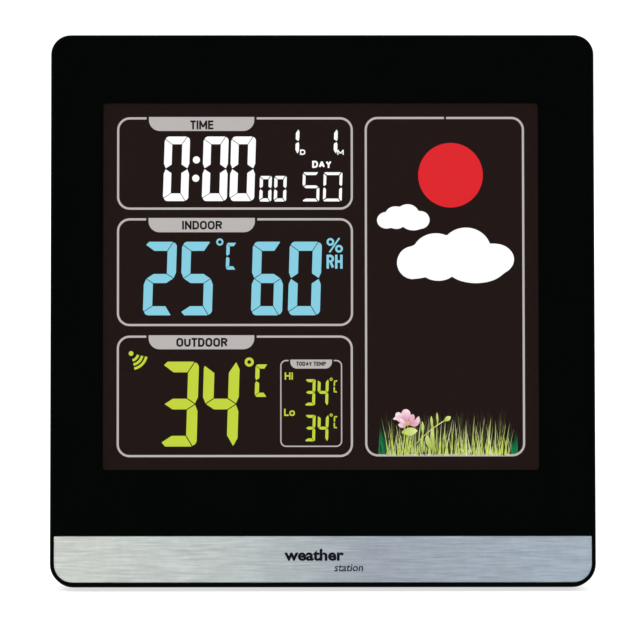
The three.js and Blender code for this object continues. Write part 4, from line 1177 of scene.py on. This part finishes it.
# %% Leaves, stem and heart
leaves = [
    petal((26.8, 50.9), (32.0, 51.5), 2.7, 0.0, 2, 0.0), petal((33.9, 49.8), (33.7, 54.6), 0.9, 0.0, 1),
    petal((37.0, 52.0), (36.7, 56.4), 0.9, 0.0, 1), petal((38.9, 53.4), (38.6, 57.6), 0.7, 0.0, 1),
    petal((37.4, 45.0), (35.2, 50.2), 1.7, 0.1, 2), petal((37.9, 44.0), (37.2, 53.8), 1.2, 0.04, 1),
    petal((41.1, 54.8), (43.2, 56.2), 1.6, 0.0, 3, 0.1), petal((33.5, 43.8), (34.0, 51.0), 0.8, 0.05, 1),
    petal((28.9, 43.8), (29.2, 50.8), 0.5, 0.06, 1),
]
STEM_STEPS, STEM_WIDTH = 10, 0.26
along_stem = [i / STEM_STEPS for i in range(STEM_STEPS + 1)]
stem = [(31.0 + 10.0 * t, 46.6 + 8.2 * t + 0.6 * math.sin(math.pi * t)) for t in along_stem]
leaves.append((*leaf(stem, [STEM_WIDTH] * len(stem), FRONT_OF_ART - 0.13, FRONT_OF_ART - 0.09), 0.0))
part("flower_leaves", art_mesh("flower_leaves", leaves), leaf_green)
heart = plant("flower_heart", colour_of(214, 178, 90), colour_of(196, 170, 80), colour_of(224, 200, 120),
              colour_of(230, 214, 140))
heart_shape = petal((28.2, 53.3), (29.5, 54.5), 1.3, 0.0, 8)
part("flower_heart", art_mesh("flower_heart", [heart_shape]), heart)
print("leaves:", len(leaves))

# %% [markdown]
# ## The back
# Screws are the classic use of copies on points: one screw is turned on a lathe from a half
# outline, its cross recess is cut with a Boolean modifier, and the tree sets it on every
# place, each turned by a different angle as real screws are.

# %% One screw
def lathed(profile, sides=28):
    """A closed shape turned round the y axis, from (radius, y) points with the ends on the axis."""
    points, faces = [(0, profile[0][1], 0)], []
    for radius, y in profile[1:-1]:
        points += [(radius * math.cos(2 * math.pi * i / sides), y, radius * math.sin(2 * math.pi * i / sides))
                   for i in range(sides)]
    points.append((0, profile[-1][1], 0))
    last = len(points) - 1
    for i in range(sides):
        j = (i + 1) % sides
        faces.append([0, 1 + i, 1 + j])
        for k in range(len(profile) - 3):
            a, b = 1 + k * sides, 1 + (k + 1) * sides
            faces.append([a + i, b + i, b + j, a + j])
        faces.append([last, last - sides + j, last - sides + i])
    return points, faces


def block(x0, y0, z0, x1, y1, z1):
    """A closed box, used only as a cutting tool."""
    points = [(x, y, z) for y in (y0, y1) for x, z in ((x0, z0), (x1, z0), (x1, z1), (x0, z1))]
    return points, [[0, 1, 2, 3], [7, 6, 5, 4], [0, 4, 5, 1], [1, 5, 6, 2], [2, 6, 7, 3], [3, 7, 4, 0]]


THREAD_PITCH = 0.9


def screw_original(name, length, head, shaft):
    """A pan head screw with a cross recess; its head's top is at y = 0 and it points to -y."""
    high = head * 0.65
    profile = [(0, -length), (shaft * 0.4, -length), (shaft, -length + shaft)]
    turns = max(3, int((length - high - shaft) / THREAD_PITCH))
    for i in range(turns):
        y = -length + shaft + (length - high - shaft) * (i + 0.5) / turns
        profile += [(shaft, y - 0.2), (shaft * 0.8, y), (shaft, y + 0.2)]
    profile += [(shaft, -high), (head * 0.94, -high), (head, -high * 0.86), (head, -high * 0.5),
                (head * 0.92, -high * 0.26), (head * 0.76, -high * 0.08), (head * 0.5, 0), (0, 0)]
    body = carrier_of(name, lathed(profile))
    arm, web = head * 0.62, head * 0.15
    tool_shapes = [block(-arm, -high * 0.6, -web, arm, 1, web), block(-web, -high * 0.6, -arm, web, 1, arm)]
    for tool_shape in tool_shapes:
        tool = carrier_of("driver", tool_shape)
        cut = body.modifiers.new("recess", "BOOLEAN")
        cut.operation, cut.object, cut.solver = "DIFFERENCE", tool, "EXACT"
        done = bpy.data.meshes.new_from_object(body.evaluated_get(bpy.context.evaluated_depsgraph_get()))
        body.modifiers.clear()
        body.data = done
        bpy.data.objects.remove(tool)
    body.data.shade_smooth()
    body.data.set_sharp_from_angle(angle=math.radians(32))
    return body


# %% [markdown]
# The screw tree is short: the points come in as a mesh of bare points, one per screw, and a
# Random Value node turns each copy about its own axis.

# %% Screw tree
screws, entry, out = named_tree("screw_set", [
    ("Screw", "NodeSocketObject", None), ("Size", "NodeSocketFloat", 1.0), ("Seed", "NodeSocketInt", 4),
    ("Finish", "NodeSocketMaterial", None),
])
one = node(screws, "GeometryNodeObjectInfo")
joined(screws, entry, "Screw", one, "Object")
angle = node(screws, "FunctionNodeRandomValue", data_type="FLOAT")
angle.inputs[FLOAT_MAX].default_value = 3.14
joined(screws, entry, "Seed", angle, "Seed")
spin = node(screws, "ShaderNodeCombineXYZ")
joined(screws, angle, FLOAT_OUT, spin, "Y")
drive = node(screws, "GeometryNodeInstanceOnPoints")
joined(screws, entry, "Geometry", drive, "Points")
joined(screws, one, "Geometry", drive, "Instance")
joined(screws, spin, "Vector", drive, "Rotation")
joined(screws, entry, "Size", drive, "Scale")
close_tree(screws, drive, "Instances")

# %% [markdown]
# Three sizes of screw hold the case, the backlight tray and the boards. Length, head and place
# are read from the CAD screws, so each copy sits exactly in its hole. The shaft is a share of
# the head, a little slimmer on the long case screws.

# %% Screws in place
screw_steel = finish("screw_steel", (0.42, 0.42, 0.43), (0.32, 0.32, 0.33), rough=0.32,
                     rough_swing=0.1, patch=1.5, grain=0.2, depth=0.003, metal=0.9)
SHAFTS = {"case_screw": 0.42, "tray_screw": 0.46, "board_screw": 0.46}
for family, share in SHAFTS.items():
    nodes = [f"{family}_{i}" for i in (1, 2, 3, 4)]
    boxes = [case_box(n) for n in nodes]
    low, high = boxes[0]
    head = (high.x - low.x) / 2
    original = screw_original(family, high.y - low.y, head, head * share)
    places = bpy.data.meshes.new(family + "_places")
    places.from_pydata([((a.x + b.x) / 2, b.y, (a.z + b.z) / 2) for a, b in boxes], [], [])
    settings = {"Screw": original, "Finish": screw_steel, "Seed": len(family)}
    mesh = grown(family + "s", screws, places, settings)
    mesh.transform(CASE)
    part(family + "s", mesh, screw_steel, stands_for=nodes)
    bpy.data.objects.remove(original)

# %% [markdown]
# Raised ribs give a fingernail or a thumb some grip on the door and on the leg. Ribs repeat
# with one pitch, so they are a short tree too: a line of points with a rounded bar on each.

# %% Rib tree
ribs, entry, out = named_tree("grip_ribs", [
    ("Rib", "NodeSocketObject", None), ("Ribs", "NodeSocketInt", 5), ("Pitch", "NodeSocketFloat", 1.6),
    ("Finish", "NodeSocketMaterial", None),
])
row = node(ribs, "GeometryNodeMeshLine", mode="OFFSET")
step = node(ribs, "ShaderNodeCombineXYZ")
joined(ribs, entry, "Pitch", step, "Z")
joined(ribs, entry, "Ribs", row, "Count")
joined(ribs, step, "Vector", row, "Offset")
one = node(ribs, "GeometryNodeObjectInfo")
joined(ribs, entry, "Rib", one, "Object")
set_on = node(ribs, "GeometryNodeInstanceOnPoints")
joined(ribs, row, "Mesh", set_on, "Points")
joined(ribs, one, "Geometry", set_on, "Instance")
close_tree(ribs, set_on, "Instances")

# %% One rib
def rib_shape(half, rise, sunk, thick):
    """A bar with a round back and round ends, along x, standing on y = 0 towards +y."""
    rings = []
    for x, k in ((-half, 0.35), (-half + thick * 0.3, 0.8), (-half + thick * 0.7, 1.0),
                 (half - thick * 0.7, 1.0), (half - thick * 0.3, 0.8), (half, 0.35)):
        ring = [(x, -sunk, -thick / 2 * k), (x, -sunk, thick / 2 * k)]
        ring += [(x, rise * k * math.sin(t), thick / 2 * k * math.cos(t)) for t in
                 [math.pi * i / 6 for i in range(7)]]
        rings.append(ring)
    n = len(rings[0])
    points = [p for ring in rings for p in ring]
    faces = [list(range(n)), list(range(len(points) - 1, len(points) - n - 1, -1))]
    for k in range(len(rings) - 1):
        a, b = k * n, (k + 1) * n
        faces += [[a + i, b + i, b + (i + 1) % n, a + (i + 1) % n] for i in range(n)]
    return points, faces


def rib_set(name, shape, count, pitch, place, body):
    """A row of ribs made by the tree, set in its place on a body; ribs follow each other along z."""
    rib = carrier_of("rib", shape)
    settings = {"Rib": rib, "Ribs": count, "Pitch": pitch, "Finish": case_plastic}
    mesh = outward(grown(name, ribs, bpy.data.meshes.new("none"), settings))
    bpy.data.objects.remove(rib)
    mesh.transform(place)
    mesh.transform(CASE)
    mesh.shade_smooth()
    part(name, mesh, case_plastic, body=body)


# %% [markdown]
# The door's ribs lie across its middle, where a thumb pushes it down. A raised arrow below
# them says which way it goes. Both stand on the outer face, the door's highest y.

# %% Ribs and arrow on the door
RIBS_BELOW_TOP, ARROW_BELOW_TOP, ARROW_SIZE = 14.5, 21.4, (2.4, 3.4)
door_high = case_box("battery_door")[1]
rib_set("door_ribs", rib_shape(9, 0.4, 0.15, 0.9), 4, 1.7,
        Matrix.Translation((0, door_high.y, door_high.z - RIBS_BELOW_TOP)), "door")
tip = door_high.z - ARROW_BELOW_TOP
arrow = [(-ARROW_SIZE[0], tip + ARROW_SIZE[1]), (0, tip), (ARROW_SIZE[0], tip + ARROW_SIZE[1])]
arrow_plate = plate(arrow, door_high.y + 0.25, door_high.y - 0.1)
part("door_arrow", mesh_of("door_arrow", [arrow_plate]), case_plastic, body="door")

# %% [markdown]
# The leg's ribs lie near its foot, on the outer face. The leg swings about its hinge, so the
# ribs are placed from the hinge: along the leg, and then out to its face. How far the face
# stands off the hinge is read from the leg's own faces.

# %% Ribs on the leg
hinge = next(j for j in frame["joints"] if j["name"] == "stand_hinge")
LEG_TURN = math.radians(hinge["range_deg"][1] - hinge["range_deg"][0])
out_of_leg = Vector((0, math.cos(LEG_TURN), math.sin(LEG_TURN)))
down_leg = Vector((0, math.sin(LEG_TURN), -math.cos(LEG_TURN)))
pivot = TO_CASE @ Vector(hinge["pos_m"])
TURN_TO_CASE = TO_CASE.to_3x3().normalized()
outer = [f for f in frame["nodes"]["stand_leg"].data.polygons
         if (TURN_TO_CASE @ f.normal).dot(out_of_leg) > 0.999]
leg_face = (TO_CASE @ max(outer, key=lambda f: f.area).center - pivot).dot(out_of_leg)
reach = max((TO_CASE @ v.co - pivot).dot(down_leg) for v in frame["nodes"]["stand_leg"].data.vertices)
RIBS_FROM_END = 6
start = pivot + out_of_leg * leg_face + down_leg * (reach - RIBS_FROM_END)
leg_axes = Matrix((Vector((1, 0, 0)), out_of_leg, -down_leg)).transposed().to_4x4()
rib_set("leg_ribs", rib_shape(15, 0.35, 0.15, 1.0), 6, 2.0, Matrix.Translation(start) @ leg_axes, "stand")
print("leg face at", round(leg_face, 2), "mm from the hinge, ribs end", round(reach - RIBS_FROM_END, 1))

# %% [markdown]
# The keys' names are printed in light grey on the cover beside them. Seen from behind, right
# and left swap, so a word's box is given right to left and its front is the higher y.

# %% Keys and their names
KEYS = {"mode_key": "MODE", "up_key": "UP", "down_key": "DOWN", "channel_key": "CH", "alarm_key": "ALARM"}
cover_back = case_box("rear_cover")[1].y
NAMES_FROM, SIGN_WIDTH, HALF_NAME, HALF_UNITS, UNITS_WIDTH = 50.0, 1.8, 1.15, 1.1, 7.4
key_print = finish("key_print", colour_of(168, 169, 170), colour_of(150, 151, 152), rough=0.6,
                   patch=3, grain=0.3, depth=0.001)


def key_name(text, beside, width, half):
    """A name printed on the cover, level with the middle of a key."""
    low, high = case_box(beside)
    middle = (low.z + high.z) / 2
    box = (NAMES_FROM, middle - half, NAMES_FROM - width, middle + half)
    return word(text, box, cover_back + 0.06, cover_back - 0.1, weight=0.01)


names = []
for key, text in KEYS.items():
    part(key + "_cap", softened(key, 0.35, 30, 3), key_plastic, body=key,
         stands_for=[key])
    names.append(key_name(text, key, SIGN_WIDTH * len(text), HALF_NAME))
names.append(key_name("C / F", "unit_switch", UNITS_WIDTH, HALF_UNITS))
part("key_names", outward(mesh_of("key_names", names)), key_print)
part("unit_switch_knob", softened("unit_switch", 0.25, 30, 3), key_plastic, body="unit_switch",
     stands_for=["unit_switch"])
part("snooze_key_cap", softened("snooze_key", 0.4, 30, 3), key_plastic, body="snooze_key",
     stands_for=["snooze_key"])

# %% [markdown]
# Rubber is darker and duller than the plastic around it, with a coarser grain, and its edges
# are rounder. The leg's foot swings with the leg, so it rides on the leg's body.

# %% Rubber feet and the inlet
rubber = finish("rubber", colour_of(24, 24, 25), colour_of(19, 19, 20), rough=0.82, patch=5,
                grain=0.18, depth=0.02)
for foot, body in (("base_foot_left", "case"), ("base_foot_right", "case"), ("stand_foot", "stand")):
    part(foot + "_pad", softened(foot, 0.3, 30, 3), rubber, body=body,
         stands_for=[foot])
part("dc_jack_body", softened("dc_jack", 0.15), key_plastic, stands_for=["dc_jack"])

# %% [markdown]
# ## Inside
# The parts inside keep their CAD shape. Each one gets a finish of its own kind, because they
# show through the vents, in the open battery bay and whenever the case is taken apart.

# %% Finishes for the inside
INSIDE = {
    "tape": (finish("tape", (0.55, 0.55, 0.53), rough=0.8, patch=8, grain=0.4, depth=0.01),
             ["lens_tape", "trim_tape"]),
    "field": (glass_field, ["lcd_front_glass"]),
    "glass": (finish("rear_glass", (0.03, 0.026, 0.025), rough=0.1, patch=30, grain=2, depth=0.0005),
              ["lcd_rear_glass"]),
    "film": (finish("film", (0.3, 0.33, 0.36), (0.22, 0.26, 0.33), rough=0.35, patch=20, grain=0.5,
                    depth=0.001),
             ["colour_film", "reflector_sheet", "diffuser_sheet"]),
    "acrylic": (finish("acrylic", (0.75, 0.79, 0.8), rough=0.12, patch=25, grain=1.2, depth=0.002),
                ["light_guide"]),
    "tray": (finish("tray_plastic", (0.78, 0.78, 0.75), (0.72, 0.72, 0.69), rough=0.55, patch=15,
                    grain=0.3, depth=0.006), ["backlight_tray", "board_connector"]),
    "board": (finish("board", (0.02, 0.13, 0.05), (0.03, 0.2, 0.09), rough=0.35, patch=3, grain=0.25,
                     depth=0.004),
              ["led_board", "main_board", "key_board", "sensor_board", "radio_module"]),
    "chip": (finish("chip_resin", (0.018, 0.018, 0.02), rough=0.62, patch=4, grain=0.15, depth=0.01),
             ["controller_chip", "buzzer", "zebra_strip"]),
    "copper": (finish("copper", (0.62, 0.27, 0.12), (0.48, 0.18, 0.07), rough=0.28, patch=2,
                      grain=0.2, depth=0.01, metal=0.95), ["radio_antenna", "ferrite_coil"]),
    "ferrite": (finish("ferrite", (0.035, 0.035, 0.04), rough=0.6, patch=3, grain=0.2, depth=0.01),
                ["ferrite_rod"]),
    "can": (finish("steel_can", (0.6, 0.6, 0.61), (0.5, 0.5, 0.52), rough=0.25, patch=2, grain=0.3,
                   depth=0.002, metal=0.95), ["quartz_crystal"]),
    "red": (finish("red_insulation", (0.45, 0.02, 0.015), rough=0.4, patch=4, grain=0.3, depth=0.003),
            ["battery_lead_red"]),
    "black": (finish("black_insulation", (0.012, 0.012, 0.013), rough=0.4, patch=4, grain=0.3, depth=0.003),
              ["battery_lead_black"]),
}
contact_steel = finish("contact_steel", (0.68, 0.68, 0.66), (0.55, 0.55, 0.55), rough=0.22,
                       rough_swing=0.08, patch=2, grain=0.25, depth=0.003, metal=0.95)


def paint_node(name, material):
    """Gives a CAD part a finish without touching its mesh."""
    slots = frame["nodes"][name].data.materials
    slots.clear()
    slots.append(material)


painted = set()
for material, nodes in INSIDE.values():
    for name in nodes:
        paint_node(name, material)
        painted.add(name)
print("CAD parts with a finish:", len(painted))

# %% [markdown]
# A cell has a printed wrap and bare metal ends. One finish does both: the distance from the
# middle of the cell, read from Object coordinates, switches between the wrap and the metal.

# %% Finish of a cell
HALF_WRAP, BAND_FROM = 0.0208, 0.62  # metres from the middle to the bare ends, and a share of it


def cell_finish(name, band_side):
    """A blue wrap with a silver band towards band_side (1 or -1 along x) and bare metal ends."""
    made = finish(name, (0.02, 0.09, 0.26), (0.03, 0.13, 0.34), rough=0.3, patch=6, grain=0.4, depth=0.001)
    tree = made.node_tree
    shader = tree.nodes["Principled BSDF"]
    place = node(tree, "ShaderNodeTexCoord")
    split = node(tree, "ShaderNodeSeparateXYZ")
    joined(tree, place, "Object", split, "Vector")
    size = node(tree, "ShaderNodeMath", operation="ABSOLUTE")
    joined(tree, split, "X", size, 0)
    bare = node(tree, "ShaderNodeMath", operation="GREATER_THAN")
    bare.inputs[1].default_value = HALF_WRAP
    joined(tree, size, 0, bare, 0)
    band = node(tree, "ShaderNodeMath", operation="GREATER_THAN")
    band.inputs[1].default_value = HALF_WRAP * BAND_FROM
    signed = node(tree, "ShaderNodeMath", operation="MULTIPLY")
    signed.inputs[1].default_value = band_side
    joined(tree, split, "X", signed, 0)
    joined(tree, signed, 0, band, 0)
    wrap = next(n for n in tree.nodes if n.type == "MIX")
    striped = node(tree, "ShaderNodeMix", data_type="RGBA")
    striped.inputs[COLOUR_B].default_value = (0.45, 0.46, 0.47, 1)
    joined(tree, band, 0, striped, "Factor")
    joined(tree, wrap, COLOUR_OUT, striped, COLOUR_A)
    metal = node(tree, "ShaderNodeMix", data_type="RGBA")
    metal.inputs[COLOUR_B].default_value = (0.7, 0.7, 0.69, 1)
    joined(tree, bare, 0, metal, "Factor")
    joined(tree, striped, COLOUR_OUT, metal, COLOUR_A)
    joined(tree, metal, COLOUR_OUT, shader, "Base Color")
    joined(tree, bare, 0, shader, "Metallic")
    return made


# %% [markdown]
# The cells lie head to tail, so the middle one has its band on the other side. Whatever is
# then left without a finish is a contact or one of its springs, in bright spring steel.

# %% Cells and contacts
for name, side in (("battery_1", 1), ("battery_2", -1), ("battery_3", 1)):
    paint_node(name, cell_finish(name + "_wrap", side))
    painted.add(name)
left = [n for n, o in frame["nodes"].items() if n not in painted and not o.hide_render]
for name in left:
    if "contact" in name or "spring" in name or "link" in name:
        paint_node(name, contact_steel)
        painted.add(name)
print("painted", len(painted), "still plain", [n for n in left if n not in painted])
